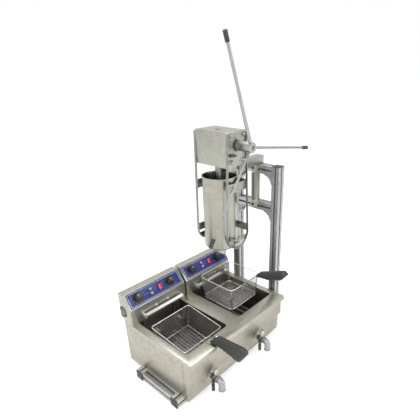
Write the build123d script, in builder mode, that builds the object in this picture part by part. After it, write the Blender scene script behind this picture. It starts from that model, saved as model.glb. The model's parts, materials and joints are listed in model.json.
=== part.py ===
"""Churro maker: hand-lever extruder on a slotted-profile stand, over a double-tank fryer.

Millimetres. +X runs along the fryer's front from its left end to its right end, +Y runs
from the operator to the back, +Z is up. The origin is on the bench, under the middle of
the whole object. Each piece is a solid of its own, and like fasteners share a file.
"""
from build123d import *
from math import atan2, cos, degrees, pi, radians, sin, tan
import os

os.makedirs("parts", exist_ok=True)

# ---------------------------------------------------------------- driving dimensions
# Datum planes of the fryer, on which everything else is placed
left_x = -387.13         # outer face of the fryer's left wall
front_y = -112.6         # outer face of the fryer's lower front wall
sheet = 1.5              # stainless sheet of the fryer

# Fryer body, deck, tanks and heating elements
body_width = 606.0
body_depth = 388.0
body_low_z = 24.5        # lower edge of the skirt, beside the base rails
body_floor_z = 40.0      # underside of the floor plate, on the base rails
deck_z = 235.0
panel_return = 15.0      # how far the front panel's ends wrap round the sides
tank_width = 235.0
tank_depth = 322.0
tank_margin = 30.0       # from side wall to tank
tank_front = 23.0        # from lower front wall to tank
tank_floor_z = 75.0
tank_sheet = 1.2
tank_corner = 14.0
element_r = 4.0
element_z = 108.0
element_pitch = 34.0     # between two runs of an element
element_runs = 6

# Control heads at the back of the fryer
head_width = 297.0
head_low_z = 236.0
head_front = 327.0       # from lower front wall to the head's front face
head_back = 407.0
head_tail_z = 252.0      # underside of the part that overhangs the back
slope_low_z = 312.0
slope_run = 43.0
head_top_z = 371.0
thermostat_x = 55.0      # controls, from the left end of their head
lamp_x = 125.0
switch_x = 174.0
timer_x = 228.0
control_up = 38.0        # controls, up the slope from its lower edge
knob_r = 24.0
knob_height = 19.0
spindle_r = 3.0
lamp_r = 5.0
bar_r = 9.5              # bar on which a raised basket hangs
bar_y = 313.9
bar_z = 263.0
bar_length = 214.0

# Baskets
basket_width = 206.0
basket_length = 206.0
basket_height = 112.0
basket_taper = 9.0       # how much each side comes in at the bottom
basket_wall = 1.6
basket_corner = 22.0
strap_dx = 60.0          # hanging straps, either side of a basket's middle
strap_width = 12.0
strap_thick = 3.0
strap_hook = 12.0        # height of a strap's hook behind the bar
rim_r = 3.0
grip_width = 30.0
sunk_rim_x, sunk_rim_y, sunk_rim_z = 142.0, 146.0, 237.0
sunk_tilt = 6.0
raised_rim_x, raised_rim_y, raised_rim_z = 473.0, 194.5, 323.0

# Stand of 40 mm slotted profile
profile = 40.0
slot_half = 4.1          # half the width of a slot's mouth
slot_lip = 4.5
slot_depth = 12.3
slot_inner = 8.2         # half the width behind the lips
core_bore_r = 3.4
base_start = -33.0       # left end of the base rails, from the fryer's left wall
post_gap = 7.5           # between the fryer's right wall and the posts
stand_front = 25.7       # front face of the front post, from the lower front wall
stand_depth = 268.6      # outside of the two posts
post_top_z = 848.0
beam_tops = (848.0, 676.0)
cap_thick = 3.0
bracket_reach = 42.0     # along the horizontal profile
bracket_drop = 42.0      # along the vertical profile
bracket_width = 36.0
bracket_wall = 4.5
bolt_head_r = 6.5
bolt_head_h = 4.0
bolt_r = 4.0
arm_width = 40.0
arm_wall = 3.0
column_width = 40.0
column_thick = 4.0

# Gearbox
press_dx = 402.0         # cylinder axis from the fryer's left wall
press_dy = 177.0         # cylinder axis from the lower front wall
box_width = 112.0
box_depth = 164.0
box_low_z = 884.0
box_height = 135.0
box_offset = 12.0        # gearbox centre, right of the cylinder axis
box_sheet = 3.0
floor_thick = 6.0
rack_window = 20.0       # hole for the rack, along X
drive_z = 964.5          # height of the lever shaft
shaft_r = 10.0
shaft_gap = 0.05         # running clearance round the shaft
bush_r = 14.0
bush_flange_r = 18.0
bush_flange = 3.0
screw_r = 3.0
screw_head_r = 5.0
screw_head_h = 3.5

# Rack and pinion
tooth_module = 2.5
pinion_teeth = 12
pressure_angle = 25.0
addendum = 0.9 * tooth_module
dedendum = 1.2 * tooth_module
backlash = 0.25
pinion_face = 18.0
rack_width = 16.0        # along X, over the tooth tips
rack_thick = 20.0
rack_teeth_z = (652.0, 1004.0)
rack_top_z = 1017.0

# Hub and levers
hub_r = 20.5
hub_front = 17.0         # front end of the hub, from the lower front wall
hub_socket = 15.0        # across the flats of the hex socket in the hub's end
socket_depth = 9.0
collar_width = 5.0
collar_r = 21.0
lever_y = 26.0           # plane of the lever roots, from the lower front wall
lever_r = 5.0
lever_root_r = 7.0       # of the tapered lever
lever_lean = 2.3         # degrees that the levers lean away from the front post
tapered_angle = 111.7    # from +X towards +Z
plain_angles = (-8.4, -128.4)
lever_lengths = {tapered_angle: 407.0, plain_angles[0]: 385.0, plain_angles[1]: 407.0}  # to the tip
grip_r = 8.0
grip_length = 34.0
latch_length = 36.0
latch_z = 930.5
latch_dx = -23.5         # latch pivot from the cylinder axis
latch_droop = 7.0        # degrees that the parked latch hangs below level

# Cylinder, piston and nozzle
cylinder_r = 71.5
cylinder_wall = 1.5
cylinder_top_z = 838.0
cone_top_z = 531.0
cone_edge = 5.0          # bevel between the wall and the shallow cone
neck_z = 508.0
neck_r = 22.0
nozzle_low_z = 483.0
rim_bead_r = 2.5
piston_r = 68.0
piston_low_z = 536.0
piston_height = 24.0
seal_r = 69.7
seal_height = 9.0
hook_width = 20.0
hook_thick = 3.0
hook_lip = 12.0          # height of the lip at a hook's end
hook_slot_height = 16.0
hook_heights = (789.0, 551.0)

# Hanging loops of flat bar, joined by sheet bands
loop_width = 10.0        # of the flat bar, along Y
loop_thick = 3.0
loop_low_half = 65.0     # from the gearbox centre to a leg's middle, at the bend
loop_bend_z = 593.8      # centre of the half-round bend
loop_top_z = 1012.0
guard_top_z = 572.5      # upper edge of the plate in the bend
band_sheet = 3.0
band_corner = 6.0        # radius of the upper band's front corner
upper_band_z = (778.0, 816.0)
lower_band_z = (586.0, 619.0)
tab_heights = (1003.0, 903.0)
tab_height = 14.0
tab_screws = (-26.0, 47.0)  # from the gearbox's centre, along X
tab_rim = 9.0            # sheet round a tab's screw

# Drain valves
valve_dx = (126.0, 435.0)
valve_z = 80.0
valve_r = 15.0
valve_reach = 68.0       # from the front wall to the spout's axis
spout_r = 14.0
spout_low_z = 37.0
stem_dy = 40.0           # lever stem, from the front wall
drain_lever_dx = 22.5    # lever plane, left of the valve's axis
sleeve_r = 7.0
sleeve_low_z = 34.0

# ---------------------------------------------------------------- derived places
right_x = left_x + body_width
back_y = front_y + body_depth
tank_lefts = {"left": left_x + tank_margin, "right": right_x - tank_margin - tank_width}
head_lefts = {"left": left_x, "right": right_x - head_width}
tank_y = front_y + tank_front + tank_depth / 2
slope_rise = head_top_z - slope_low_z
slope_angle = degrees(atan2(slope_rise, slope_run))
press_x = left_x + press_dx
press_y = front_y + press_dy
box_x = press_x + box_offset
box_right = box_x + box_width / 2
box_front = press_y - box_depth / 2
box_back = press_y + box_depth / 2
box_top_z = box_low_z + box_height
loop_top_half = box_width / 2 - loop_thick / 2
band_right = box_offset + loop_low_half + loop_thick / 2 + band_sheet  # from the cylinder axis
pitch_r = tooth_module * pinion_teeth / 2
shaft_x = press_x + rack_width / 2 - addendum + pitch_r
post_x = right_x + post_gap + profile / 2
post_ys = (front_y + stand_front + profile / 2,
           front_y + stand_front + stand_depth - profile / 2)
base_left = left_x + base_start
base_right = post_x + profile / 2
beam_start = post_ys[0] + profile / 2
beam_length = post_ys[1] - post_ys[0] - profile


def save(part, name):
    """Label a finished piece and write it to its own file."""
    part.label = name
    export_step(part, f"parts/{name}.step")


def along_x(x, y, z):
    """Plane that faces +X, with its own x along +Y."""
    return Plane(origin=(x, y, z), x_dir=(0, 1, 0), z_dir=(1, 0, 0))


def along_y(x, y, z):
    """Plane that faces +Y, with its own x along +X and its own y along -Z."""
    return Plane(origin=(x, y, z), x_dir=(1, 0, 0), z_dir=(0, 1, 0))


def along_z(x, y, z):
    """Plane that faces +Z."""
    return Plane(origin=(x, y, z))


# ---------------------------------------------------------------- stand
def profile_section():
    """The 40 mm section with a T-slot in each side, in the open sketch."""
    half = profile / 2
    RectangleRounded(profile, profile, 2.0)
    Circle(core_bore_r, mode=Mode.SUBTRACT)
    slot = [(half + 1, slot_half), (half - slot_lip, slot_half), (half - slot_lip, slot_inner),
            (half - slot_lip - 2, slot_inner), (half - slot_depth, slot_half)]
    mirrored = [(x, -y) for x, y in reversed(slot)]
    with PolarLocations(0, 4):
        Polygon(*slot, *mirrored, align=None, mode=Mode.SUBTRACT)


def slotted_bar(plane, length):
    """A length of slotted profile along a plane's normal, in the open part."""
    with BuildSketch(plane) as section:
        profile_section()
    extrude(section.sketch, amount=length)


for rail_name, rail_y in zip(("base_rail_front", "base_rail_rear"), post_ys):
    with BuildPart() as base_rail:
        slotted_bar(along_x(base_left, rail_y, profile / 2), base_right - base_left)
    save(base_rail.part, rail_name)

for post_name, post_y in zip(("post_front", "post_rear"), post_ys):
    with BuildPart() as post:
        slotted_bar(along_z(post_x, post_y, profile), post_top_z - profile)
    save(post.part, post_name)

with BuildPart() as base_cross_rails:
    for cross_x in (base_left + profile / 2, post_x):
        slotted_bar(along_y(cross_x, beam_start, profile / 2), beam_length)
save(base_cross_rails.part, "base_cross_rails")

with BuildPart() as cross_beams:
    for beam_top in beam_tops:
        slotted_bar(along_y(post_x, beam_start, beam_top - profile / 2), beam_length)
save(cross_beams.part, "cross_beams")

with BuildPart() as profile_caps:
    for post_y in post_ys:
        with BuildSketch(along_z(post_x, post_y, post_top_z)):
            RectangleRounded(profile, profile, 2.0)
        extrude(amount=cap_thick)
        with BuildSketch(along_x(base_left - cap_thick, post_y, profile / 2)):
            RectangleRounded(profile, profile, 2.0)
        extrude(amount=cap_thick)
save(profile_caps.part, "profile_caps")


def corner_plane(corner, across, up):
    """Plane in an inside corner: x points along one profile, y along the other."""
    return Plane(origin=corner, x_dir=across, z_dir=Vector(*across).cross(Vector(*up)))


def bracket(plane):
    """Corner bracket with two flanges and two curved webs, in the open part."""
    with BuildSketch(plane) as flanges:
        Rectangle(bracket_reach, bracket_wall, align=(Align.MIN, Align.MIN))
        Rectangle(bracket_wall, bracket_drop, align=(Align.MIN, Align.MIN))
    extrude(flanges.sketch, amount=bracket_width / 2, both=True)
    for side in (1, -1):
        with BuildSketch(plane.offset(side * (bracket_width / 2 - bracket_wall))) as web:
            with BuildLine() as web_edge:
                Polyline((bracket_wall, bracket_drop), (0, bracket_drop), (0, 0),
                         (bracket_reach, 0), (bracket_reach, bracket_wall))
                ThreePointArc((bracket_reach, bracket_wall),
                              (bracket_reach * 0.4, bracket_drop * 0.4),
                              (bracket_wall, bracket_drop))
            make_face(web_edge.edges())
        extrude(web.sketch, amount=side * bracket_wall)


def bolt(seat, length, head_r=bolt_head_r, head_h=bolt_head_h, shank_r=bolt_r):
    """Button-head bolt: the head stands on a seat plane, the shank goes below it."""
    with BuildSketch(seat) as head_base:
        Circle(head_r)
    extrude(head_base.sketch, amount=head_h, taper=20)
    with BuildSketch(seat) as shank:
        Circle(shank_r)
    extrude(shank.sketch, amount=-length)
    with BuildSketch(seat.offset(head_h)) as socket:
        RegularPolygon(head_r * 0.4, 6)
    extrude(socket.sketch, amount=-head_h * 0.55, mode=Mode.SUBTRACT)


def hole(seat, radius, length):
    """Round hole from a seat plane down, in the open part."""
    with BuildSketch(seat) as mouth:
        Circle(radius)
    extrude(mouth.sketch, amount=-length, mode=Mode.SUBTRACT)


def bracket_seats(plane):
    """Seat planes of a bracket's two bolts, on the inner sides of its flanges."""
    foot = plane.from_local_coords((bracket_reach * 0.6, bracket_wall, 0))
    wall = plane.from_local_coords((bracket_wall, bracket_drop * 0.6, 0))
    return [Plane(origin=foot, z_dir=plane.y_dir), Plane(origin=wall, z_dir=plane.x_dir)]


corners = []
for beam_z, up in ((beam_tops[0] - profile, -1), (beam_tops[1] - profile, -1), (profile, 1)):
    corners.append(corner_plane((post_x, beam_start, beam_z), (0, 1, 0), (0, 0, up)))
    corners.append(corner_plane((post_x, beam_start + beam_length, beam_z), (0, -1, 0), (0, 0, up)))
seats = [seat for corner in corners for seat in bracket_seats(corner)]
shank_length = bracket_wall + slot_lip + 3

with BuildPart() as corner_brackets:
    for corner in corners:
        bracket(corner)
    for seat in seats:
        hole(seat, bolt_r, bracket_wall)
save(corner_brackets.part, "corner_brackets")

# Stainless column that ties the two beams together, bolted to their left faces
column_x = post_x - profile / 2 - column_thick
column_y = press_y - 28.2
column_ends = [beam_top - profile / 2 for beam_top in beam_tops]
column_span = column_ends[0] - column_ends[1]
column_seats = [Plane(origin=(column_x, column_y + dy, z), z_dir=(-1, 0, 0))
                for z in column_ends for dy in (-19, 19)]
with BuildPart() as support_column:
    with BuildSketch(along_x(column_x, column_y, sum(column_ends) / 2)):
        Rectangle(column_width, column_span)
        with Locations((0, column_span / 2), (0, -column_span / 2)):
            RectangleRounded(column_width + 20, profile - 6, 4)
    extrude(amount=column_thick)
    for side in (1, -1):
        rib_y = column_y + side * (column_width / 2 - 2)
        with BuildSketch(along_x(column_x - 8, rib_y, sum(column_ends) / 2)):
            Rectangle(4, column_span - profile)
        extrude(amount=8)
    for seat in column_seats:
        hole(seat, bolt_r, column_thick)
save(support_column.part, "support_column")

with BuildPart() as frame_bolts:
    for seat in seats:
        bolt(seat, shank_length)
    for seat in column_seats:
        bolt(seat, column_thick + slot_lip + 3)
save(frame_bolts.part, "frame_bolts")

# Box tube from under the gearbox to the upper beam, with a flange up the gearbox's wall
arm_y = press_y - 20.2
arm_height = box_low_z - beam_tops[0]
rack_clear = rack_window / 2 + 3
with BuildPart() as support_arm:
    with BuildSketch(along_x(press_x + rack_clear, arm_y, beam_tops[0] + arm_height / 2)):
        Rectangle(arm_width, arm_height)
        Rectangle(arm_width - 2 * arm_wall, arm_height - 2 * arm_wall, mode=Mode.SUBTRACT)
    extrude(amount=post_x + profile / 2 - 4 - press_x - rack_clear)
    with BuildSketch(along_x(box_right, arm_y, box_low_z)):
        Rectangle(arm_width + 24, 60, align=(Align.CENTER, Align.CENTER))
    extrude(amount=5)
    with BuildSketch(along_x(box_right, arm_y, beam_tops[0] + arm_height / 2)):
        Rectangle(arm_width - 2 * arm_wall, arm_height - 2 * arm_wall)
    extrude(amount=5, mode=Mode.SUBTRACT)
save(support_arm.part, "support_arm")

# ---------------------------------------------------------------- gearbox
tab_seats = []
for loop_y, outward in ((box_front, -1), (box_back, 1)):
    for tab_z in tab_heights:
        for screw_dx in tab_screws:
            origin = (box_x + screw_dx, loop_y + outward * box_sheet, tab_z)
            tab_seats.append(Plane(origin=origin, z_dir=(0, outward, 0)))

with BuildPart() as gearbox_housing:
    with Locations((box_x, press_y, box_low_z)):
        Box(box_width, box_depth, box_height, align=(Align.CENTER, Align.CENTER, Align.MIN))
        Box(box_width - 2 * box_sheet, box_depth - 2 * box_sheet, box_height - box_sheet,
            align=(Align.CENTER, Align.CENTER, Align.MIN), mode=Mode.SUBTRACT)
    with Locations((press_x, press_y, box_top_z)):
        Box(rack_window, rack_window + 4, 4 * box_sheet, mode=Mode.SUBTRACT)
    with BuildSketch(along_y(shaft_x, box_front - 5, drive_z)):
        Circle(bush_r)
    extrude(amount=box_depth + 10, mode=Mode.SUBTRACT)
    for seat in tab_seats:
        hole(seat, screw_r, 3 * box_sheet)
save(gearbox_housing.part, "gearbox_housing")

with BuildPart() as gearbox_floor:
    with Locations((box_x, press_y, box_low_z)):
        Box(box_width - 2 * box_sheet, box_depth - 2 * box_sheet, floor_thick,
            align=(Align.CENTER, Align.CENTER, Align.MIN))
    with Locations((press_x, press_y, box_low_z)):
        Box(rack_window, rack_window + 4, 4 * floor_thick, mode=Mode.SUBTRACT)
save(gearbox_floor.part, "gearbox_floor")

with BuildPart() as gearbox_screws:
    for seat in tab_seats:
        bolt(seat, 2 * box_sheet + 4, screw_head_r, screw_head_h, screw_r)
save(gearbox_screws.part, "gearbox_screws")

with BuildPart() as shaft_bushes:
    for wall_y, inward in ((box_front, 1), (box_back, -1)):
        with BuildSketch(Plane(origin=(shaft_x, wall_y, drive_z), z_dir=(0, inward, 0))):
            Circle(bush_r)
            Circle(shaft_r + shaft_gap, mode=Mode.SUBTRACT)
        extrude(amount=box_sheet + bush_flange)
        flange_y = wall_y + inward * box_sheet
        with BuildSketch(Plane(origin=(shaft_x, flange_y, drive_z), z_dir=(0, inward, 0))):
            Circle(bush_flange_r)
            Circle(shaft_r + shaft_gap, mode=Mode.SUBTRACT)
        extrude(amount=bush_flange)
save(shaft_bushes.part, "shaft_bushes")

# Pad behind the rack, carried on the gearbox's left wall
guide_face = press_x - rack_width / 2 - 0.3
guide_root = box_x - box_width / 2 + box_sheet
with BuildPart() as rack_guide:
    with BuildSketch(along_z((guide_face + guide_root) / 2, press_y, drive_z - 25)):
        Rectangle(guide_face - guide_root, rack_thick + 11)
        for side in (1, -1):
            with Locations(((guide_face - guide_root) / 2, side * (rack_thick / 2 + 2.9))):
                Rectangle(8, 5.2, align=(Align.MIN, Align.CENTER))
    extrude(amount=50)
save(rack_guide.part, "rack_guide")

# ---------------------------------------------------------------- drive
shaft_end_y = box_back + 4.0
hub_y = front_y + hub_front
shaft_front_y = hub_y + socket_depth + 1.5
hub_back_y = box_front - 0.4 - collar_width
with BuildPart() as drive_shaft:
    with BuildSketch(along_y(shaft_x, shaft_front_y, drive_z)):
        Circle(shaft_r)
    extrude(amount=shaft_end_y - shaft_front_y)
    chamfer(drive_shaft.edges().filter_by(GeomType.CIRCLE).sort_by(Axis.Y)[-1], 1.2)
save(drive_shaft.part, "drive_shaft")


def involute_flank(base_r, start_r, tip_r, turn, steps=6):
    """Points of one involute flank, from start_r out to tip_r, turned about the centre."""
    points = []
    for step in range(steps + 1):
        radius = start_r + (tip_r - start_r) * step / steps
        roll = ((radius / base_r) ** 2 - 1) ** 0.5
        angle = turn + roll - atan2(roll, 1)
        points.append((radius * cos(angle), radius * sin(angle)))
    return points


def pinion_outline():
    """Closed outline of the pinion, with the middle of one tooth at 180 degrees."""
    base_r = pitch_r * cos(radians(pressure_angle))
    tip_r = pitch_r + addendum
    root_r = pitch_r - dedendum
    start_r = max(base_r, root_r) + 0.01
    at_pitch = tan(radians(pressure_angle)) - radians(pressure_angle)
    half_tooth = (pi * tooth_module / 2 - backlash / 2) / (2 * pitch_r)
    points = []
    for tooth in range(pinion_teeth):
        middle = pi + 2 * pi * tooth / pinion_teeth
        rising = involute_flank(base_r, start_r, tip_r, -(half_tooth + at_pitch))
        falling = [(x, -y) for x, y in reversed(rising)]
        foot = -(half_tooth + at_pitch)
        flank = [(root_r * cos(foot), root_r * sin(foot))] + rising + falling
        flank.append((root_r * cos(foot), -root_r * sin(foot)))
        for x, y in flank:
            points.append((x * cos(middle) - y * sin(middle), x * sin(middle) + y * cos(middle)))
    return points


with BuildPart() as pinion:
    with BuildSketch(along_y(shaft_x, press_y - pinion_face / 2, drive_z)):
        Polygon(*pinion_outline(), align=None)
        Circle(shaft_r, mode=Mode.SUBTRACT)
    extrude(amount=pinion_face)
save(pinion.part, "pinion")


def lever_plane(angle):
    """Plane at the shaft's axis whose normal points out along a lever."""
    lean = radians(lever_lean)
    turn = radians(angle)
    outward = (cos(turn) * cos(lean), -sin(lean), sin(turn) * cos(lean))
    return Plane(origin=(shaft_x, front_y + lever_y, drive_z), z_dir=outward)


lever_angles = (tapered_angle,) + plain_angles
with BuildPart() as hub:
    with BuildSketch(along_y(shaft_x, hub_y, drive_z)):
        Circle(hub_r)
    extrude(amount=hub_back_y - hub_y)
    chamfer(hub.edges().filter_by(GeomType.CIRCLE), 1.5)
    with BuildSketch(along_y(shaft_x, hub_y, drive_z)):
        RegularPolygon(hub_socket / 2, 6, major_radius=False)
    extrude(amount=socket_depth, mode=Mode.SUBTRACT)
    with BuildSketch(along_y(shaft_x, shaft_front_y, drive_z)):
        Circle(shaft_r)
    extrude(amount=hub_back_y - shaft_front_y, mode=Mode.SUBTRACT)
    for angle in lever_angles:
        with BuildSketch(lever_plane(angle).offset(shaft_r)):
            Circle(lever_r)
        extrude(amount=hub_r, mode=Mode.SUBTRACT)
save(hub.part, "hub")

with BuildPart() as shaft_collar:
    with BuildSketch(along_y(shaft_x, hub_back_y, drive_z)):
        Circle(collar_r)
        Circle(shaft_r, mode=Mode.SUBTRACT)
    extrude(amount=collar_width)
save(shaft_collar.part, "shaft_collar")

lever_start = shaft_r + 0.8
with BuildPart() as lever_upper:
    with BuildSketch(lever_plane(tapered_angle).offset(lever_start)):
        Circle(lever_r)
    extrude(amount=hub_r - lever_start + 1.5)
    with BuildSketch(lever_plane(tapered_angle).offset(hub_r + 0.8)):
        Circle(lever_root_r)
    with BuildSketch(lever_plane(tapered_angle).offset(lever_lengths[tapered_angle] - 2)):
        Circle(lever_r)
    loft()
save(lever_upper.part, "lever_upper")

with BuildPart() as plain_levers:
    for angle in plain_angles:
        with BuildSketch(lever_plane(angle).offset(lever_start)):
            Circle(lever_r)
        extrude(amount=lever_lengths[angle] - 2 - lever_start)
save(plain_levers.part, "plain_levers")

with BuildPart() as lever_grips:
    for angle in lever_angles:
        with BuildSketch(lever_plane(angle).offset(lever_lengths[angle] - grip_length)):
            Circle(grip_r)
        extrude(amount=grip_length)
    fillet(lever_grips.edges().filter_by(GeomType.CIRCLE), 2.0)
    for angle in lever_angles:
        with BuildSketch(lever_plane(angle).offset(lever_lengths[angle] - grip_length - 1)):
            Circle(lever_r + (0.55 if angle == tapered_angle else 0))
        extrude(amount=grip_length - 1, mode=Mode.SUBTRACT)
save(lever_grips.part, "lever_grips")

# Parking latch that turns on the gearbox's front wall
latch_x = press_x + latch_dx
latch_y = box_front - 0.4
with BuildPart() as lock_latch:
    droop = radians(latch_droop)
    with BuildSketch(Plane(origin=(latch_x, latch_y, latch_z), x_dir=(cos(droop), 0, -sin(droop)),
                           z_dir=(0, -1, 0))):
        with BuildLine():
            Line((0, 5.5), (latch_length - 4, 4))
            ThreePointArc((latch_length - 4, 4), (latch_length, 0), (latch_length - 4, -4))
            Line((latch_length - 4, -4), (0, -5.5))
            ThreePointArc((0, -5.5), (-5.5, 0), (0, 5.5))
        make_face()
    extrude(amount=7)
    fillet(lock_latch.edges().group_by(Axis.Y)[0], 1.0)
save(lock_latch.part, "lock_latch")

# ---------------------------------------------------------------- rack and piston
tooth_pitch = pi * tooth_module
tip_x = rack_width / 2
root_x = tip_x - addendum - dedendum


def rack_outline():
    """Side view of the rack, with a tooth space level with the pinion's axis."""
    low, high = rack_teeth_z
    slope = tan(radians(pressure_angle))
    half_space = tooth_pitch / 4 + backlash / 4
    first = int((low - drive_z) // tooth_pitch) + 1
    last = int((high - drive_z) // tooth_pitch)
    points = [(-tip_x, rack_bottom), (tip_x, rack_bottom)]
    for number in range(first, last + 1):
        middle = drive_z + number * tooth_pitch
        mouth = half_space + addendum * slope
        bottom = half_space - dedendum * slope
        points.append((tip_x, middle - mouth))
        points.append((root_x, middle - bottom))
        points.append((root_x, middle + bottom))
        points.append((tip_x, middle + mouth))
    points += [(tip_x, rack_top_z - 2), (tip_x - 2, rack_top_z), (-tip_x, rack_top_z)]
    return points


rack_bottom = piston_low_z + piston_height
with BuildPart() as rack:
    with BuildSketch(Plane(origin=(press_x, press_y + rack_thick / 2, 0), x_dir=(1, 0, 0),
                           z_dir=(0, -1, 0))):
        Polygon(*rack_outline(), align=None)
    extrude(amount=rack_thick)
save(rack.part, "rack")

with BuildPart() as piston:
    with BuildSketch(along_z(press_x, press_y, piston_low_z)):
        Circle(piston_r)
    extrude(amount=piston_height)
    chamfer(piston.edges().filter_by(GeomType.CIRCLE), 1.5)
    seal_low_z = piston_low_z + (piston_height - seal_height) / 2
    with BuildSketch(along_z(press_x, press_y, seal_low_z)):
        Circle(piston_r + 2)
        Circle(piston_r - 5, mode=Mode.SUBTRACT)
    extrude(amount=seal_height, mode=Mode.SUBTRACT)
save(piston.part, "piston")

with BuildPart() as piston_seal:
    with BuildSketch(along_z(press_x, press_y, seal_low_z)):
        Circle(seal_r)
        Circle(piston_r - 5, mode=Mode.SUBTRACT)
    extrude(amount=seal_height)
save(piston_seal.part, "piston_seal")

# ---------------------------------------------------------------- cradle
def facing_front(y):
    """Plane that faces -Y in the gearbox's middle, with its own y as the height."""
    return Plane(origin=(box_x, y, 0), x_dir=(1, 0, 0), z_dir=(0, -1, 0))


def leg_outside(z):
    """Distance from the gearbox's middle to a loop leg's outer face, at a height."""
    fall = (loop_top_z - z) / (loop_top_z - loop_bend_z)
    return loop_top_half + fall * (loop_low_half - loop_top_half) + loop_thick / 2


def hook_slots(height):
    """Slots for the cylinder's hooks, cut through the open part along Y."""
    with Locations((press_x, press_y, height)):
        Box(hook_width + 4, 3 * box_depth, hook_slot_height,
            align=(Align.CENTER, Align.CENTER, Align.MIN), mode=Mode.SUBTRACT)


loops = {}
for loop_name, wall_y, outward in (("front_loop", box_front, -1), ("rear_loop", box_back, 1)):
    bar_back_y = wall_y + max(outward, 0) * loop_width
    guard_back_y = wall_y + max(outward, 0) * band_sheet
    with BuildPart() as loop:
        with BuildSketch(facing_front(bar_back_y)) as flat_bar:
            with BuildLine():
                Line((-loop_top_half, loop_top_z), (-loop_low_half, loop_bend_z))
                ThreePointArc((-loop_low_half, loop_bend_z), (0, loop_bend_z - loop_low_half),
                              (loop_low_half, loop_bend_z))
                Line((loop_low_half, loop_bend_z), (loop_top_half, loop_top_z))
            trace(line_width=loop_thick)
        extrude(flat_bar.sketch, amount=loop_width)
        with BuildSketch(facing_front(guard_back_y)) as guard:
            with Locations((0, loop_bend_z)):
                Circle(loop_low_half)
            with Locations((0, guard_top_z)):
                Rectangle(3 * loop_low_half, 2 * loop_low_half, align=(Align.CENTER, Align.MIN),
                          mode=Mode.SUBTRACT)
        extrude(guard.sketch, amount=band_sheet)
        hook_slots(hook_heights[1])
        for tab_z in tab_heights:
            for screw_dx in tab_screws:
                side = 1 if screw_dx > 0 else -1
                ends = (side * (leg_outside(tab_z) - 1), screw_dx - side * tab_rim)
                with Locations((box_x + sum(ends) / 2, wall_y + outward * box_sheet / 2, tab_z)):
                    Box(abs(ends[1] - ends[0]), box_sheet, tab_height)
        for seat in tab_seats:
            if seat.z_dir.Y * outward > 0:
                hole(seat, screw_r, box_sheet)
    loops[loop_name] = loop.part
    save(loop.part, loop_name)


def band_outline(left, inset, closed_front):
    """Plan of a band: its rear flat, the round behind the cylinder and its right flat."""
    right = press_x + band_right - inset
    front = box_front + inset
    rear = box_back - inset
    round_r = band_right - inset
    corner = band_corner - inset
    with BuildLine() as edge:
        Line((left, rear), (press_x, rear))
        RadiusArc((press_x, rear), (right, press_y), round_r)
        if closed_front:
            Line((right, press_y), (right, front + corner))
            RadiusArc((right, front + corner), (right - corner, front), corner)
            Line((right - corner, front), (left, front))
            Line((left, front), (left, rear))
        else:
            Polyline((right, press_y), (right, box_front - 1), (left, box_front - 1), (left, rear))
    make_face(edge.edges())


def band(low_z, high_z, closed_front):
    """Bent sheet band behind and beside the cylinder, cut to fit the loops' legs."""
    left = box_x - leg_outside((low_z + high_z) / 2)
    with BuildSketch(along_z(0, 0, low_z)) as outer:
        band_outline(left, 0, closed_front)
    extrude(outer.sketch, amount=high_z - low_z)
    with BuildSketch(along_z(0, 0, low_z)) as inner:
        band_outline(left - 1, band_sheet, closed_front)
    extrude(inner.sketch, amount=high_z - low_z, mode=Mode.SUBTRACT)
    for loop_part in loops.values():
        add(loop_part, mode=Mode.SUBTRACT)


with BuildPart() as upper_band:
    band(*upper_band_z, closed_front=True)
    hook_slots(hook_heights[0])
save(upper_band.part, "upper_band")

with BuildPart() as lower_band:
    band(*lower_band_z, closed_front=False)
save(lower_band.part, "lower_band")


def turned(x, y):
    """Plane through a vertical axis, with its own y up, for revolved profiles."""
    return Plane(origin=(x, y, 0), x_dir=(1, 0, 0), z_dir=(0, -1, 0))


# ---------------------------------------------------------------- cylinder and nozzle
inner_r = cylinder_r - cylinder_wall
neck_low_z = nozzle_low_z + 7.0
hook_walls = {hook_heights[0]: (box_front, box_back),
              hook_heights[1]: (box_front - band_sheet, box_back + band_sheet)}
with BuildPart() as cylinder:
    with BuildSketch(turned(press_x, press_y)):
        Polygon((inner_r, cylinder_top_z), (inner_r, cone_top_z),
                (inner_r - cone_edge, cone_top_z - cone_edge), (neck_r - 4, neck_z),
                (neck_r - 4, neck_low_z), (neck_r - 2.5, neck_low_z), (neck_r - 2.5, neck_z - 1),
                (cylinder_r - cone_edge, cone_top_z - cone_edge - cylinder_wall),
                (cylinder_r, cone_top_z - cylinder_wall),
                (cylinder_r, cylinder_top_z - 2 * rim_bead_r),
                (cylinder_r + rim_bead_r, cylinder_top_z - 2 * rim_bead_r),
                (cylinder_r + rim_bead_r, cylinder_top_z), align=None)
    revolve(axis=Axis((press_x, press_y, 0), (0, 0, 1)))
    for hook_z, walls in hook_walls.items():
        for face_y, outward in zip(walls, (-1, 1)):
            wall_y = press_y + outward * (cylinder_r - 0.8)
            lip_y = face_y + outward * 4.0
            with Locations((press_x, (wall_y + lip_y) / 2, hook_z)):
                Box(hook_width, abs(lip_y - wall_y), hook_thick,
                    align=(Align.CENTER, Align.CENTER, Align.MIN))
            with Locations((press_x, lip_y - outward * hook_thick / 2, hook_z + hook_thick)):
                Box(hook_width, hook_thick, hook_lip, align=(Align.CENTER, Align.CENTER, Align.MAX))
save(cylinder.part, "cylinder")

with BuildPart() as nozzle_ring:
    with BuildSketch(turned(press_x, press_y)):
        Polygon((neck_r - 2.5, neck_z - 1), (neck_r - 2.5, nozzle_low_z + 2),
                (neck_r - 7, nozzle_low_z + 2), (neck_r - 7, nozzle_low_z),
                (neck_r, nozzle_low_z), (neck_r, neck_z - 1), align=None)
    revolve(axis=Axis((press_x, press_y, 0), (0, 0, 1)))
save(nozzle_ring.part, "nozzle_ring")

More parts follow.
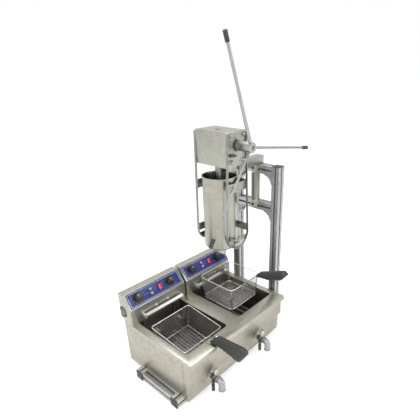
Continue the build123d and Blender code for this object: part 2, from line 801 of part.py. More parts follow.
star_points = [((6.0 if step % 2 else 4.2) * cos(pi * step / 6),
                (6.0 if step % 2 else 4.2) * sin(pi * step / 6)) for step in range(12)]
with BuildPart() as star_nozzle:
    with BuildSketch(along_z(press_x, press_y, nozzle_low_z + 2)):
        Circle(neck_r - 2.5)
        Polygon(*star_points, align=None, mode=Mode.SUBTRACT)
    extrude(amount=neck_low_z - nozzle_low_z - 2)
save(star_nozzle.part, "star_nozzle")

# ---------------------------------------------------------------- fryer body
front_profile = [(0, body_low_z), (0, 98), (-20, 128), (-19, 191), (-40, 219),
                 (-34, deck_z - sheet)]
side_profile = [(panel_return, body_low_z), (22, body_low_z), (22, body_floor_z),
                (298, body_floor_z), (298, body_low_z), (body_depth, body_low_z),
                (body_depth, deck_z - sheet), (panel_return, deck_z - sheet)]

with BuildPart() as fryer_body:
    for wall_x in (left_x, right_x - sheet):
        with BuildSketch(along_x(wall_x, front_y, 0)):
            Polygon(*side_profile, align=None)
        extrude(amount=sheet)
    with Locations((left_x, back_y - sheet, body_low_z)):
        Box(body_width, sheet, deck_z - sheet - body_low_z, align=(Align.MIN,) * 3)
    with Locations((left_x, front_y + panel_return, body_floor_z)):
        Box(body_width, body_depth - panel_return, sheet, align=(Align.MIN,) * 3)
save(fryer_body.part, "fryer_body")

valve_xs = [left_x + dx for dx in valve_dx]
with BuildPart() as front_panel:
    with BuildSketch(along_x(left_x, front_y, 0)):
        Polygon(*front_profile, (panel_return, deck_z - sheet), (panel_return, body_low_z),
                align=None)
    extrude(amount=body_width)
    with BuildSketch(along_x(left_x + sheet, front_y, 0)):
        Polygon(*front_profile, (panel_return, deck_z - sheet), (panel_return, body_low_z),
                align=None)
        offset(amount=-sheet, kind=Kind.INTERSECTION)
        with Locations((panel_return - 4, body_low_z - 1)):
            Rectangle(8, deck_z - body_low_z, align=(Align.MIN, Align.MIN))
        with Locations((sheet, body_low_z - 1)):
            Rectangle(panel_return, 6, align=(Align.MIN, Align.MIN))
    extrude(amount=body_width - 2 * sheet, mode=Mode.SUBTRACT)
    for valve_x in valve_xs:
        hole(Plane(origin=(valve_x, front_y - 1, valve_z), z_dir=(0, -1, 0)), 8.0, 5)
save(front_panel.part, "front_panel")


def tank_section(inset):
    """Plan of a tank, in the open sketch that is centred on it."""
    RectangleRounded(tank_width - 2 * inset, tank_depth - 2 * inset, tank_corner - inset)


def tank_plane(side, z):
    return along_z(tank_lefts[side] + tank_width / 2, tank_y, z)


with BuildPart() as deck:
    with Locations((left_x, front_y - 34, deck_z - sheet)):
        Box(body_width, body_depth + 34, sheet, align=(Align.MIN,) * 3)
    for side in tank_lefts:
        with BuildSketch(tank_plane(side, deck_z - sheet)):
            tank_section(0)
        extrude(amount=sheet, mode=Mode.SUBTRACT)
save(deck.part, "deck")

for side, valve_x in zip(tank_lefts, valve_xs):
    with BuildPart() as tank:
        with BuildSketch(tank_plane(side, tank_floor_z)):
            tank_section(0)
        extrude(amount=deck_z - tank_floor_z)
        with BuildSketch(tank_plane(side, tank_floor_z + tank_sheet)):
            tank_section(tank_sheet)
        extrude(amount=deck_z - tank_floor_z, mode=Mode.SUBTRACT)
        hole(Plane(origin=(valve_x, front_y + tank_front - 1, valve_z + 2), z_dir=(0, -1, 0)), 5, 5)
    save(tank.part, f"{side}_tank")

# Serpentine elements that lie over the tank floors and rise into the heads
riser_y = front_y + 337.0
with BuildPart() as heating_elements:
    for side in tank_lefts:
        tank_x = tank_lefts[side] + tank_width / 2
        first_x = tank_x - element_pitch * (element_runs - 1) / 2
        near_y, far_y = front_y + 50.0, front_y + 300.0
        path = [(first_x, riser_y, 264.0), (first_x, riser_y, element_z)]
        for run in range(element_runs):
            run_x = first_x + run * element_pitch
            ends = (far_y, near_y) if run % 2 == 0 else (near_y, far_y)
            if run > 0:
                path.append((run_x, ends[0], element_z))
            if run < element_runs - 1:
                path.append((run_x, ends[1], element_z))
        last_x = first_x + (element_runs - 1) * element_pitch
        path += [(last_x, riser_y, element_z), (last_x, riser_y, 264.0)]
        with BuildLine():
            FilletPolyline(*path, radius=12.0)
        with BuildSketch(Plane(origin=path[0], z_dir=(0, 0, -1))):
            Circle(element_r)
        sweep()
save(heating_elements.part, "heating_elements")

# ---------------------------------------------------------------- control heads
head_profile = [(head_front, deck_z), (head_front, slope_low_z),
                (head_front + slope_run, head_top_z), (head_back, head_top_z),
                (head_back, head_tail_z), (body_depth, head_tail_z), (body_depth, deck_z)]


def slope_plane(side, x, up, lift=0.0):
    """Plane on a head's sloping face: x to the right, y up the slope, z out of it."""
    slope = radians(slope_angle)
    origin = (head_lefts[side] + x, front_y + head_front + up * cos(slope) - lift * sin(slope),
              slope_low_z + up * sin(slope) + lift * cos(slope))
    return Plane(origin=origin, x_dir=(1, 0, 0), z_dir=(0, -sin(slope), cos(slope)))


panel_sheet = 1.2
panel_inset = 8.0
panel_length = slope_run / cos(radians(slope_angle)) - 2 * 3.0
rocker_r = 12.3
rocker_half = 7.0
lamp_ups = (control_up - 10, control_up + 10)


def control_holes(side, lift, depth):
    """Holes for spindles, lamps and switch from a level over the slope, down."""
    for x in (thermostat_x, timer_x):
        hole(slope_plane(side, x, control_up, lift), spindle_r + 0.05, depth)
    for up in lamp_ups:
        hole(slope_plane(side, lamp_x, up, lift), lamp_r - 1, depth)
    with BuildSketch(slope_plane(side, switch_x, control_up, lift)) as window:
        Rectangle(2 * rocker_half + 1, 2 * rocker_r + 1)
    extrude(window.sketch, amount=-depth, mode=Mode.SUBTRACT)


for side in head_lefts:
    with BuildPart() as head:
        with BuildSketch(along_x(head_lefts[side], front_y, 0)):
            Polygon(*head_profile, align=None)
        extrude(amount=head_width)
        with BuildSketch(along_x(head_lefts[side] + sheet, front_y, 0)):
            Polygon(*head_profile, align=None)
            offset(amount=-sheet, kind=Kind.INTERSECTION)
            with Locations((head_front + 3, deck_z - 1)):
                Rectangle(body_depth - head_front - 6, 8, align=(Align.MIN, Align.MIN))
        extrude(amount=head_width - 2 * sheet, mode=Mode.SUBTRACT)
        control_holes(side, 0.0, 4.0)
    save(head.part, f"{side}_head")

with BuildPart() as control_panels:
    for side in head_lefts:
        mid_up = panel_length / 2 + 3.0
        with BuildSketch(slope_plane(side, head_width / 2, mid_up)):
            RectangleRounded(head_width - 2 * panel_inset, panel_length, 3.0)
        extrude(amount=panel_sheet)
        control_holes(side, panel_sheet, 3.0)
save(control_panels.part, "control_panels")

with BuildPart() as control_units:
    for side in head_lefts:
        for x in (thermostat_x, timer_x):
            with BuildSketch(slope_plane(side, x, control_up, -sheet)):
                RectangleRounded(38, 32, 3)
            extrude(amount=-22)
            hole(slope_plane(side, x, control_up, -sheet), spindle_r + 0.05, 16)
save(control_units.part, "control_units")

with BuildPart() as panel_fittings:
    for side in head_lefts:
        for up in lamp_ups:
            with BuildSketch(slope_plane(side, lamp_x, up, panel_sheet)):
                Circle(lamp_r)
            extrude(amount=4.0, taper=12)
            with BuildSketch(slope_plane(side, lamp_x, up, panel_sheet)):
                Circle(lamp_r - 1)
            extrude(amount=-14)
        with BuildSketch(slope_plane(side, switch_x, control_up, panel_sheet)):
            Rectangle(2 * rocker_half + 5, 2 * rocker_r + 5)
            Rectangle(2 * rocker_half + 0.8, 2 * rocker_r + 0.8, mode=Mode.SUBTRACT)
        extrude(amount=2.0)
save(panel_fittings.part, "panel_fittings")

for side in head_lefts:
    for knob_name, knob_x in (("thermostat_knob", thermostat_x), ("timer_knob", timer_x)):
        with BuildPart() as knob:
            knob_seat = slope_plane(side, knob_x, control_up, panel_sheet + 0.4)
            with BuildSketch(knob_seat):
                Circle(knob_r)
            extrude(amount=4.5, taper=8)
            with BuildSketch(knob_seat.offset(4.5)):
                Circle(knob_r - 3.5)
            extrude(amount=knob_height - 4.5, taper=4)
            with BuildSketch(knob_seat):
                Circle(spindle_r)
            extrude(amount=-17)
        save(knob.part, f"{side}_{knob_name}")

    with BuildPart() as rocker:
        pivot = slope_plane(side, switch_x - rocker_half, control_up, panel_sheet - 1.5)
        section = Plane(origin=pivot.origin, x_dir=pivot.y_dir, z_dir=(1, 0, 0))
        with BuildSketch(section):
            Circle(rocker_r)
            Polygon((-14, 2.2), (0, 3.6), (14, 9.0), (14, 20), (-14, 20), align=None,
                    mode=Mode.SUBTRACT)
        extrude(amount=2 * rocker_half)
    save(rocker.part, f"{side}_switch")

with BuildPart() as hanging_bars:
    for side in head_lefts:
        bar_start = head_lefts[side] + thermostat_x
        with BuildSketch(along_x(bar_start, front_y + bar_y, bar_z)):
            Circle(bar_r)
        extrude(amount=bar_length)
        for bracket_x in (bar_start, bar_start + bar_length - 8):
            with Locations((bracket_x, front_y + bar_y - bar_r, bar_z - bar_r)):
                Box(8, head_front - bar_y + bar_r, 2 * bar_r, align=(Align.MIN,) * 3)
save(hanging_bars.part, "hanging_bars")

with BuildPart() as cable_glands:
    for side in head_lefts:
        gland_y = front_y + (head_back + body_depth) / 2
        with BuildSketch(along_z(head_lefts[side] + head_width / 2, gland_y, head_tail_z)):
            RegularPolygon(8, 6)
        extrude(amount=-5)
        with BuildSketch(along_z(head_lefts[side] + head_width / 2, gland_y, head_tail_z - 5)):
            Circle(7)
        extrude(amount=-8)
        hole(along_z(head_lefts[side] + head_width / 2, gland_y, head_tail_z), 4, 14)
save(cable_glands.part, "cable_glands")

# ---------------------------------------------------------------- baskets
strap_drop = raised_rim_z - (bar_z + bar_r + 0.4)    # hook straps, below the rim
baskets = {
    "left": {
        "plane": Plane(origin=(left_x + sunk_rim_x, front_y + sunk_rim_y, sunk_rim_z),
                       x_dir=(1, 0, 0)).rotated((sunk_tilt, 0, 0)),
        "grip_x": left_x + 148.0,
        "grip": [(6, 240), (-37, 280), (-166, 293), (-184.5, 276), (-147, 219), (-52, 240)],
        "strut": ((42, 227), (-14, 262)),
    },
    "right": {
        "plane": Plane(origin=(left_x + raised_rim_x, front_y + raised_rim_y, raised_rim_z)),
        "grip_x": left_x + 460.0,
        "grip": [(24, 391), (0, 419), (-122, 469), (-142, 457), (-116, 423), (-50, 398)],
        "strut": ((92, 324), (8, 404)),
    },
}


def grip_sketch(side):
    """Side view of a basket's grip, in the open sketch."""
    Polygon(*baskets[side]["grip"], align=None)
    fillet(vertices(), 9.0)


def grip_plane(side):
    return along_x(baskets[side]["grip_x"], front_y, 0)


for side in baskets:
    rim = baskets[side]["plane"]
    with BuildPart() as basket:
        for inset, mode in ((0.0, Mode.ADD), (basket_wall, Mode.SUBTRACT)):
            with BuildSketch(rim):
                RectangleRounded(basket_width - 2 * inset, basket_length - 2 * inset,
                                 basket_corner - inset)
            with BuildSketch(rim.offset(-basket_height + inset)):
                RectangleRounded(basket_width - 2 * (basket_taper + inset),
                                 basket_length - 2 * (basket_taper + inset), basket_corner - inset)
            loft(mode=mode)
        with BuildSketch(rim.offset(-rim_r)):
            RectangleRounded(basket_width + 2 * rim_r, basket_length + 2 * rim_r,
                             basket_corner + rim_r)
            RectangleRounded(basket_width - 1, basket_length - 1, basket_corner - 0.5,
                             mode=Mode.SUBTRACT)
        extrude(amount=2 * rim_r)
        for strap_x in (-strap_dx, strap_dx):
            back = basket_length / 2 - basket_taper * strap_drop / basket_height
            reach = bar_y + bar_r + strap_thick + 0.4 - raised_rim_y
            strap = rim.offset(-strap_drop)
            with BuildSketch(strap):
                with Locations((strap_x, back - 1.2)):
                    Rectangle(strap_width, reach - back + 1.2, align=(Align.CENTER, Align.MIN))
            extrude(amount=strap_thick)
            with BuildSketch(strap.offset(strap_thick - strap_hook)):
                with Locations((strap_x, reach)):
                    Rectangle(strap_width, strap_thick, align=(Align.CENTER, Align.MAX))
            extrude(amount=strap_hook)
        start, end = baskets[side]["strut"]
        strut_x = baskets[side]["grip_x"]
        start_at = Vector(strut_x, front_y + start[0], start[1])
        end_at = Vector(strut_x, front_y + end[0], end[1])
        with BuildSketch(Plane(origin=start_at, x_dir=(1, 0, 0), z_dir=end_at - start_at)):
            Rectangle(22, 5)
        extrude(amount=(end_at - start_at).length)
        with BuildSketch(grip_plane(side)):
            grip_sketch(side)
        extrude(amount=grip_width / 2, both=True, mode=Mode.SUBTRACT)
    save(basket.part, f"{side}_basket")

    with BuildPart() as grip:
        with BuildSketch(grip_plane(side)):
            grip_sketch(side)
        extrude(amount=grip_width / 2, both=True)
        fillet(grip.faces().sort_by(Axis.X)[0].edges(), 5.0)
        fillet(grip.faces().sort_by(Axis.X)[-1].edges(), 5.0)
    save(grip.part, f"{side}_basket_grip")

# ---------------------------------------------------------------- drain valves
stem_y = front_y - stem_dy
with BuildPart() as drain_valves:
    for valve_x in valve_xs:
        outward = Plane(origin=(valve_x, front_y + tank_front, valve_z), z_dir=(0, -1, 0))
        with BuildSketch(outward):
            Circle(8.0)
        extrude(amount=tank_front + valve_reach - 20)
        with BuildSketch(outward.offset(tank_front)):
            Circle(spout_r + 2)
        extrude(amount=4)
        with Locations((valve_x, front_y - 26, valve_z)):
            Sphere(valve_r)
        with BuildSketch(along_z(valve_x, stem_y + 6, valve_z)):
            Circle(7.5)
        extrude(amount=36)
        with BuildSketch(along_z(valve_x, stem_y + 6, valve_z + 34)):
            RegularPolygon(11, 6)
        extrude(amount=16)
        with BuildSketch(Plane(origin=(valve_x, stem_y, valve_z), z_dir=(-1, 0, 0))):
            Circle(7.0)
        extrude(amount=drain_lever_dx - 4)
        with BuildSketch(Plane(origin=(valve_x, stem_y, valve_z), z_dir=(-1, 0, 0))):
            Circle(4.0)
        extrude(amount=drain_lever_dx + 6)
        spout_y = front_y - valve_reach
        with BuildLine():
            FilletPolyline((valve_x, spout_y + 24, valve_z), (valve_x, spout_y, valve_z),
                           (valve_x, spout_y, spout_low_z), radius=spout_r + 2)
        with BuildSketch(Plane(origin=(valve_x, spout_y + 24, valve_z), z_dir=(0, -1, 0))):
            Circle(spout_r)
            Circle(spout_r - 3, mode=Mode.SUBTRACT)
        sweep()
save(drain_valves.part, "drain_valves")

for side, valve_x in zip(tank_lefts, valve_xs):
    lever_x = valve_x - drain_lever_dx
    with BuildPart() as drain_lever:
        with BuildSketch(along_x(lever_x - 2, stem_y, valve_z)):
            Circle(8.0)
            Rectangle(9, valve_z - sleeve_low_z - 10, align=(Align.CENTER, Align.MAX))
        extrude(amount=4)
        with BuildSketch(along_z(lever_x, stem_y, sleeve_low_z)):
            Circle(sleeve_r)
        extrude(amount=valve_z - sleeve_low_z - 12)
        fillet(drain_lever.faces().sort_by(Axis.Z)[0].edges(), 3.0)
        with BuildSketch(along_x(lever_x - 4, stem_y, valve_z)):
            Circle(4.05)
        extrude(amount=8, mode=Mode.SUBTRACT)
    save(drain_lever.part, f"{side}_drain_lever")
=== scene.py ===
# %% [markdown]
# # Churro maker in Blender
# This lesson dresses a hand-lever churro extruder that stands over a double-tank fryer. The
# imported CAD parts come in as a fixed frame: they carry the sizes and the moving joints. Each
# step then gives one part of the machine its real finish, or models it again with more
# detail. Everything is in metres, +X runs along the fryer's front, +Y to the back, +Z up.

# %% Load the frame
import bpy
import bmesh
import json
from math import atan2, cos, degrees, radians, sin, sqrt
from mathutils import Matrix, Vector


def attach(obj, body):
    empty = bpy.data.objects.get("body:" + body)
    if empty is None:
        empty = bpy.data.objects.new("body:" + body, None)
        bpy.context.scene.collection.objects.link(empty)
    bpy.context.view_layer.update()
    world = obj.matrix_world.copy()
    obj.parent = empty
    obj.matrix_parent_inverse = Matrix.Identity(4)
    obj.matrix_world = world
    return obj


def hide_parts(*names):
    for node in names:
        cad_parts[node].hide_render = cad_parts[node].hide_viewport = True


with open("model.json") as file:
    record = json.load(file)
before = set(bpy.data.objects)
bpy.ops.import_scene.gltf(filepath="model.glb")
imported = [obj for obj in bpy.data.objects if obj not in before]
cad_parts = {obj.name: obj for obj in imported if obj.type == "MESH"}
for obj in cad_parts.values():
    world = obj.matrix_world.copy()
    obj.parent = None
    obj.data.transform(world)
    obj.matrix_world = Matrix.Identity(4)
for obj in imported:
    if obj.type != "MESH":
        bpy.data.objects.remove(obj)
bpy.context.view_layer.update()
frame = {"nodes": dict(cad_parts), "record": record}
nodes = frame["nodes"]
body_of = {node: body for body, names in frame["record"]["behaviour"]["bodies"].items()
           for node in names}
MM = 0.001

# %% [markdown]
# ## Camera
# The machine is seen from its front left, from a little above the gearbox, with a short
# lens close by, so that the posts lean and the fryer's near corner looms. A shift of the
# lens keeps the tall machine in the frame while the camera points lower and to the left.

# %% Camera
FRAME_PIXELS = 420
FOCAL_PIXELS = 367.3
AXIS_X, AXIS_Y = 246.1, 236.3
CAMERA_YAW, CAMERA_PITCH = 50.3, 24.9
camera_data = bpy.data.cameras.new("camera")
camera_data.sensor_width = 36.0
camera_data.lens = FOCAL_PIXELS * camera_data.sensor_width / FRAME_PIXELS
camera_data.shift_x = (FRAME_PIXELS / 2 - AXIS_X) / FRAME_PIXELS
camera_data.shift_y = (AXIS_Y - FRAME_PIXELS / 2) / FRAME_PIXELS
camera_data.clip_end = 50.0
camera = bpy.data.objects.new("camera", camera_data)
camera.location = (-1.04663, -0.9600, 1.2431)
camera.rotation_euler = (radians(90 - CAMERA_PITCH), 0, radians(-CAMERA_YAW))
bpy.context.scene.collection.objects.link(camera)
bpy.context.scene.camera = camera
print("lens", round(camera_data.lens, 2), "mm")

# %% [markdown]
# ## Floor, world and lamps
# A pale bench top carries the machine. Large soft lamps stand left, in front and above, so
# the bent sheets show broad highlights and no hard shadow. The white surroundings are seen
# only by the camera and in reflections; the steel is lit by the lamps and a dimmer room.

# %% Stage and light
scene = bpy.context.scene
scene.view_settings.view_transform = "Standard"


def white_to_view(tree, plain, white):
    """Lights the machine with one shader, and shows the camera and mirrors a whiter one."""
    path = tree.nodes.new("ShaderNodeLightPath")
    seen = path.outputs["Is Camera Ray"]
    for ray in ("Is Glossy Ray", "Is Transmission Ray"):
        either = tree.nodes.new("ShaderNodeMath")
        either.operation = "MAXIMUM"
        tree.links.new(seen, either.inputs[0])
        tree.links.new(path.outputs[ray], either.inputs[1])
        seen = either.outputs[0]
    mix = tree.nodes.new("ShaderNodeMixShader")
    tree.links.new(seen, mix.inputs[0])
    tree.links.new(plain.outputs[0], mix.inputs[1])
    tree.links.new(white.outputs[0], mix.inputs[2])
    return mix


world = bpy.data.worlds.new("studio")
world.use_nodes = True
scene.world = world
sky = world.node_tree
sky.nodes.clear()
room = sky.nodes.new("ShaderNodeBackground")
room.inputs["Color"].default_value = (0.90, 0.92, 0.95, 1)
room.inputs["Strength"].default_value = 0.62
bright = sky.nodes.new("ShaderNodeBackground")
bright.inputs["Color"].default_value = (1, 1, 1, 1)
world_out = sky.nodes.new("ShaderNodeOutputWorld")
world_mix = white_to_view(sky, room, bright)
sky.links.new(world_mix.outputs[0], world_out.inputs["Surface"])


def soft_lamp(name, location, size, power):
    """Square area lamp that faces the machine."""
    data = bpy.data.lights.new(name, "AREA")
    data.size = size
    data.energy = power
    lamp = bpy.data.objects.new(name, data)
    lamp.location = location
    lamp.rotation_euler = (Vector((0, 0, 0.5)) - Vector(location)).to_track_quat("-Z", "Y").to_euler()
    scene.collection.objects.link(lamp)


soft_lamp("lamp_left", (-2.6, -1.0, 2.2), 1.6, 30)
soft_lamp("lamp_front", (0.8, -2.8, 1.6), 1.8, 26)
soft_lamp("lamp_top", (0.2, 0.3, 3.4), 2.0, 40)

bpy.ops.mesh.primitive_plane_add(size=90.0, location=(0, 0, -0.0005))
floor = bpy.context.object
floor.name = "bench_top"
floor_material = bpy.data.materials.new("bench_top_white")
floor_material.use_nodes = True
floor_tree = floor_material.node_tree
floor_shader = floor_tree.nodes["Principled BSDF"]
floor_shader.inputs["Base Color"].default_value = (0.9, 0.9, 0.9, 1)
floor_shader.inputs["Roughness"].default_value = 0.7
floor_glow = floor_tree.nodes.new("ShaderNodeEmission")
floor_glow.inputs["Strength"].default_value = 0.5
floor_white = floor_tree.nodes.new("ShaderNodeAddShader")
floor_tree.links.new(floor_shader.outputs[0], floor_white.inputs[0])
floor_tree.links.new(floor_glow.outputs[0], floor_white.inputs[1])
floor_mix = white_to_view(floor_tree, floor_shader, floor_white)
floor_tree.links.new(floor_mix.outputs[0], floor_tree.nodes["Material Output"].inputs["Surface"])
floor.data.materials.append(floor_material)

# %% [markdown]
# ## Effects that several finishes share
# Brushed sheet has fine lines along its rolling direction, wiped patches and faint
# smears. The lines are a noise that is stretched so far that it turns into streaks.
# Each effect is a node group, built once, and every finish feeds it its own coordinates.


# %% Node group helpers
def new_group(name, output, **numbers):
    """Empty shader node group: coordinates and named numbers go in, one value comes out."""
    group = bpy.data.node_groups.new(name, "ShaderNodeTree")
    group.interface.new_socket("Vector", in_out="INPUT", socket_type="NodeSocketVector")
    for socket, value in numbers.items():
        made = group.interface.new_socket(socket, in_out="INPUT", socket_type="NodeSocketFloat")
        made.default_value = value
    group.interface.new_socket(output, in_out="OUTPUT", socket_type="NodeSocketFloat")
    return group, group.nodes.new("NodeGroupInput"), group.nodes.new("NodeGroupOutput")


def feed(tree, socket, value):
    """Gives a node's input a fixed value, or links another node's output to it."""
    if isinstance(value, bpy.types.NodeSocket):
        tree.links.new(value, socket)
    else:
        socket.default_value = value


def math_node(tree, operation, first, second):
    """Math node whose inputs are numbers or sockets."""
    node = tree.nodes.new("ShaderNodeMath")
    node.operation = operation
    feed(tree, node.inputs[0], first)
    feed(tree, node.inputs[1], second)
    return node.outputs[0]


def noise_node(tree, vector, scale, detail=3.0, roughness=0.5):
    """Noise texture on given coordinates; scale is a number or a socket."""
    node = tree.nodes.new("ShaderNodeTexNoise")
    node.inputs["Detail"].default_value = detail
    node.inputs["Roughness"].default_value = roughness
    feed(tree, node.inputs["Scale"], scale)
    feed(tree, node.inputs["Vector"], vector)
    return node.outputs["Fac"]


def remap(tree, value, low, high, to_low=0.0, to_high=1.0):
    """Map Range node with fixed limits."""
    node = tree.nodes.new("ShaderNodeMapRange")
    tree.links.new(value, node.inputs["Value"])
    for socket, number in zip(("From Min", "From Max", "To Min", "To Max"),
                              (low, high, to_low, to_high)):
        node.inputs[socket].default_value = number
    return node.outputs["Result"]


# %% The shared effects
def make_brush_group():
    """Streaks of brushed or drawn metal, on coordinates that are already stretched."""
    group, ins, outs = new_group("brushed_streaks", "Streaks")
    fine = noise_node(group, ins.outputs["Vector"], 1.0, 4.0, 0.65)
    broad = noise_node(group, ins.outputs["Vector"], 0.22, 2.0, 0.5)
    both = math_node(group, "MULTIPLY", math_node(group, "ADD", fine, broad), 0.5)
    group.links.new(remap(group, both, 0.34, 0.66), outs.inputs["Streaks"])
    return group


def make_wipe_group():
    """Wiped patches and small smears on handled metal and plastic."""
    group, ins, outs = new_group("wiped_patches", "Patches", Scale=9.0)
    large = noise_node(group, ins.outputs["Vector"], ins.outputs["Scale"], 2.0, 0.55)
    small_scale = math_node(group, "MULTIPLY", ins.outputs["Scale"], 7.0)
    small = noise_node(group, ins.outputs["Vector"], small_scale, 4.0, 0.6)
    both = math_node(group, "ADD", math_node(group, "MULTIPLY", large, 0.7),
                     math_node(group, "MULTIPLY", small, 0.3))
    group.links.new(remap(group, both, 0.36, 0.64), outs.inputs["Patches"])
    return group


def make_wear_group():
    """Mask of worn and rubbed edges, from how sharp the surface is."""
    group, ins, outs = new_group("rubbed_edges", "Edges", Amount=1.0)
    geometry = group.nodes.new("ShaderNodeNewGeometry")
    sharp = remap(group, geometry.outputs["Pointiness"], 0.505, 0.56)
    broken = remap(group, noise_node(group, ins.outputs["Vector"], 60.0, 3.0), 0.35, 0.6)
    mask = math_node(group, "MULTIPLY", sharp, broken)
    group.links.new(math_node(group, "MULTIPLY", mask, ins.outputs["Amount"]), outs.inputs["Edges"])
    return group


BRUSH, WIPE, WEAR = make_brush_group(), make_wipe_group(), make_wear_group()
print("groups", BRUSH.name, WIPE.name, WEAR.name)

# %% [markdown]
# ## Finishes
# Nearly all of the machine is stainless steel, but its parts do not look alike: the deck is
# drawn from side to side, the skirts are drawn level, the cylinder upright, and the mesh is
# wire. One function builds all metals; its stretch says which way the lines run.


# %% Metal finishes
def object_coordinates(tree, stretch=(1, 1, 1)):
    """Object coordinates, stretched for streaks."""
    coordinates = tree.nodes.new("ShaderNodeTexCoord")
    mapping = tree.nodes.new("ShaderNodeMapping")
    mapping.inputs["Scale"].default_value = stretch
    tree.links.new(coordinates.outputs["Object"], mapping.inputs["Vector"])
    return coordinates.outputs["Object"], mapping.outputs["Vector"]


def use_group(tree, group, vector, **values):
    """Places a shared effect and feeds it coordinates and its own numbers."""
    node = tree.nodes.new("ShaderNodeGroup")
    node.node_tree = group
    tree.links.new(vector, node.inputs["Vector"])
    for socket, number in values.items():
        node.inputs[socket].default_value = number
    return node.outputs[0]


def blend_colours(tree, factor, first, second):
    """Mix of two fixed colours, or of a socket and a colour."""
    mix = tree.nodes.new("ShaderNodeMix")
    mix.data_type = "RGBA"
    tree.links.new(factor, mix.inputs["Factor"])
    for socket, colour in (("A", first), ("B", second)):
        target = [item for item in mix.inputs if item.name == socket and item.type == "RGBA"][0]
        feed(tree, target, (*colour, 1.0) if isinstance(colour, tuple) else colour)
    return [item for item in mix.outputs if item.type == "RGBA"][0]


FINISH = {}


def new_finish(name):
    """Material that is kept under its name: its node tree and its shader."""
    FINISH[name] = bpy.data.materials.new(name)
    FINISH[name].use_nodes = True
    tree = FINISH[name].node_tree
    return tree, tree.nodes["Principled BSDF"]


def add_bump(tree, shader, height, strength, distance):
    """Feeds a height to the shader's normal."""
    bump = tree.nodes.new("ShaderNodeBump")
    bump.inputs["Strength"].default_value = strength
    bump.inputs["Distance"].default_value = distance
    tree.links.new(height, bump.inputs["Height"])
    tree.links.new(bump.outputs["Normal"], shader.inputs["Normal"])


def shade(colour, factor):
    """A colour made darker or lighter."""
    return tuple(min(1.0, channel * factor) for channel in colour)


# Depth under the rim over which the painted shade in a bore fades in, in metres
BORE_SHADE_FADE = 0.006


def bore_shade_mask(tree, position, axis, radius, top):
    """Mask for painted shade inside an upright bore: 1 below its top edge, fading to 0 at the rim and
    outside it; sizes in metres.
    """
    split = tree.nodes.new("ShaderNodeSeparateXYZ")
    tree.links.new(position, split.inputs[0])
    across = [math_node(tree, "SUBTRACT", split.outputs[n], axis[n]) for n in (0, 1)]
    squares = [math_node(tree, "MULTIPLY", value, value) for value in across]
    distance = math_node(tree, "SQRT", math_node(tree, "ADD", *squares), 0)
    inside = math_node(tree, "LESS_THAN", distance, radius)
    return math_node(tree, "MULTIPLY", inside, remap(tree, split.outputs[2], top, top - BORE_SHADE_FADE))


def metal(name, colour, rough, stretch, streak=0.10, patch=0.08, wipe_scale=9.0, bump=0.10,
          bore=None):
    """Brushed, drawn or polished metal; streak and patch say how much its tone varies."""
    tree, shader = new_finish(name)
    plain, stretched = object_coordinates(tree, stretch)
    streaks = use_group(tree, BRUSH, stretched)
    patches = use_group(tree, WIPE, plain, Scale=wipe_scale)
    worn = use_group(tree, WEAR, plain, Amount=0.6)
    toned = blend_colours(tree, streaks, shade(colour, 1 - streak), shade(colour, 1 + streak))
    tone = math_node(tree, "MULTIPLY", patches, patch * 3)
    stained = blend_colours(tree, tone, toned, shade(colour, 0.72))
    final = blend_colours(tree, worn, stained, shade(colour, 1.25))
    # Inside a given bore the colour is darkened nearly to black: painted shade
    if bore:
        final = blend_colours(tree, bore_shade_mask(tree, plain, *bore), final, shade(colour, 0.16))
    tree.links.new(final, shader.inputs["Base Color"])
    rough_value = math_node(tree, "ADD", remap(tree, streaks, 0, 1, rough - 0.05, rough + 0.05),
                            math_node(tree, "MULTIPLY", patches, 0.10))
    tree.links.new(rough_value, shader.inputs["Roughness"])
    shader.inputs["Metallic"].default_value = 1.0
    add_bump(tree, shader, streaks, bump, 0.0004)


LEVEL, ALONG_X, ALONG_Y, UPRIGHT = (4, 4, 900), (4, 900, 900), (900, 4, 900), (900, 900, 4)
# Axis, radius and upper edge of the painted shade inside the cylinder's bore, in metres
CYLINDER_BORE_SHADE = ((0.01487, 0.0644), 0.0708, 0.836)
metal("skirt_steel", (0.37, 0.35, 0.295), 0.36, LEVEL)
metal("deck_steel", (0.42, 0.415, 0.36), 0.32, ALONG_X, patch=0.10)
# The tanks are the same steel painted far darker: painted shade inside the tanks
metal("tank_shaded_steel", (0.17, 0.165, 0.14), 0.34, LEVEL, patch=0.14)
metal("head_steel", (0.40, 0.395, 0.345), 0.36, ALONG_X)
metal("gearbox_steel", (0.37, 0.37, 0.325), 0.36, LEVEL, patch=0.02)
metal("cylinder_steel", (0.36, 0.355, 0.30), 0.26, UPRIGHT, streak=0.07, bore=CYLINDER_BORE_SHADE)
metal("loop_steel", (0.27, 0.28, 0.26), 0.32, UPRIGHT)
metal("band_steel", (0.30, 0.30, 0.27), 0.34, LEVEL)
metal("chrome_wire", (0.78, 0.78, 0.75), 0.22, (30, 30, 30), streak=0.05)
# The fine side mesh is the bright wire painted darker: painted shade inside the tank
metal("mesh_shaded", (0.30, 0.295, 0.27), 0.50, (30, 30, 30), streak=0.03)
metal("mesh_bright", (0.76, 0.76, 0.73), 0.38, (30, 30, 30), streak=0.03)
metal("lever_chrome", (0.31, 0.31, 0.305), 0.30, (9, 9, 9), streak=0.04, patch=0.04)
metal("hub_steel", (0.40, 0.395, 0.385), 0.28, ALONG_Y)
metal("profile_aluminium", (0.40, 0.405, 0.395), 0.40, UPRIGHT, patch=0.05)
metal("rail_aluminium", (0.44, 0.44, 0.41), 0.40, ALONG_X, patch=0.05)
metal("beam_aluminium", (0.42, 0.425, 0.415), 0.40, ALONG_Y, patch=0.05)
metal("cast_aluminium", (0.38, 0.385, 0.375), 0.48, (90, 90, 90), bump=0.25)
metal("bronze", (0.55, 0.38, 0.16), 0.35, ALONG_Y)
metal("tool_steel", (0.30, 0.30, 0.29), 0.34, LEVEL)
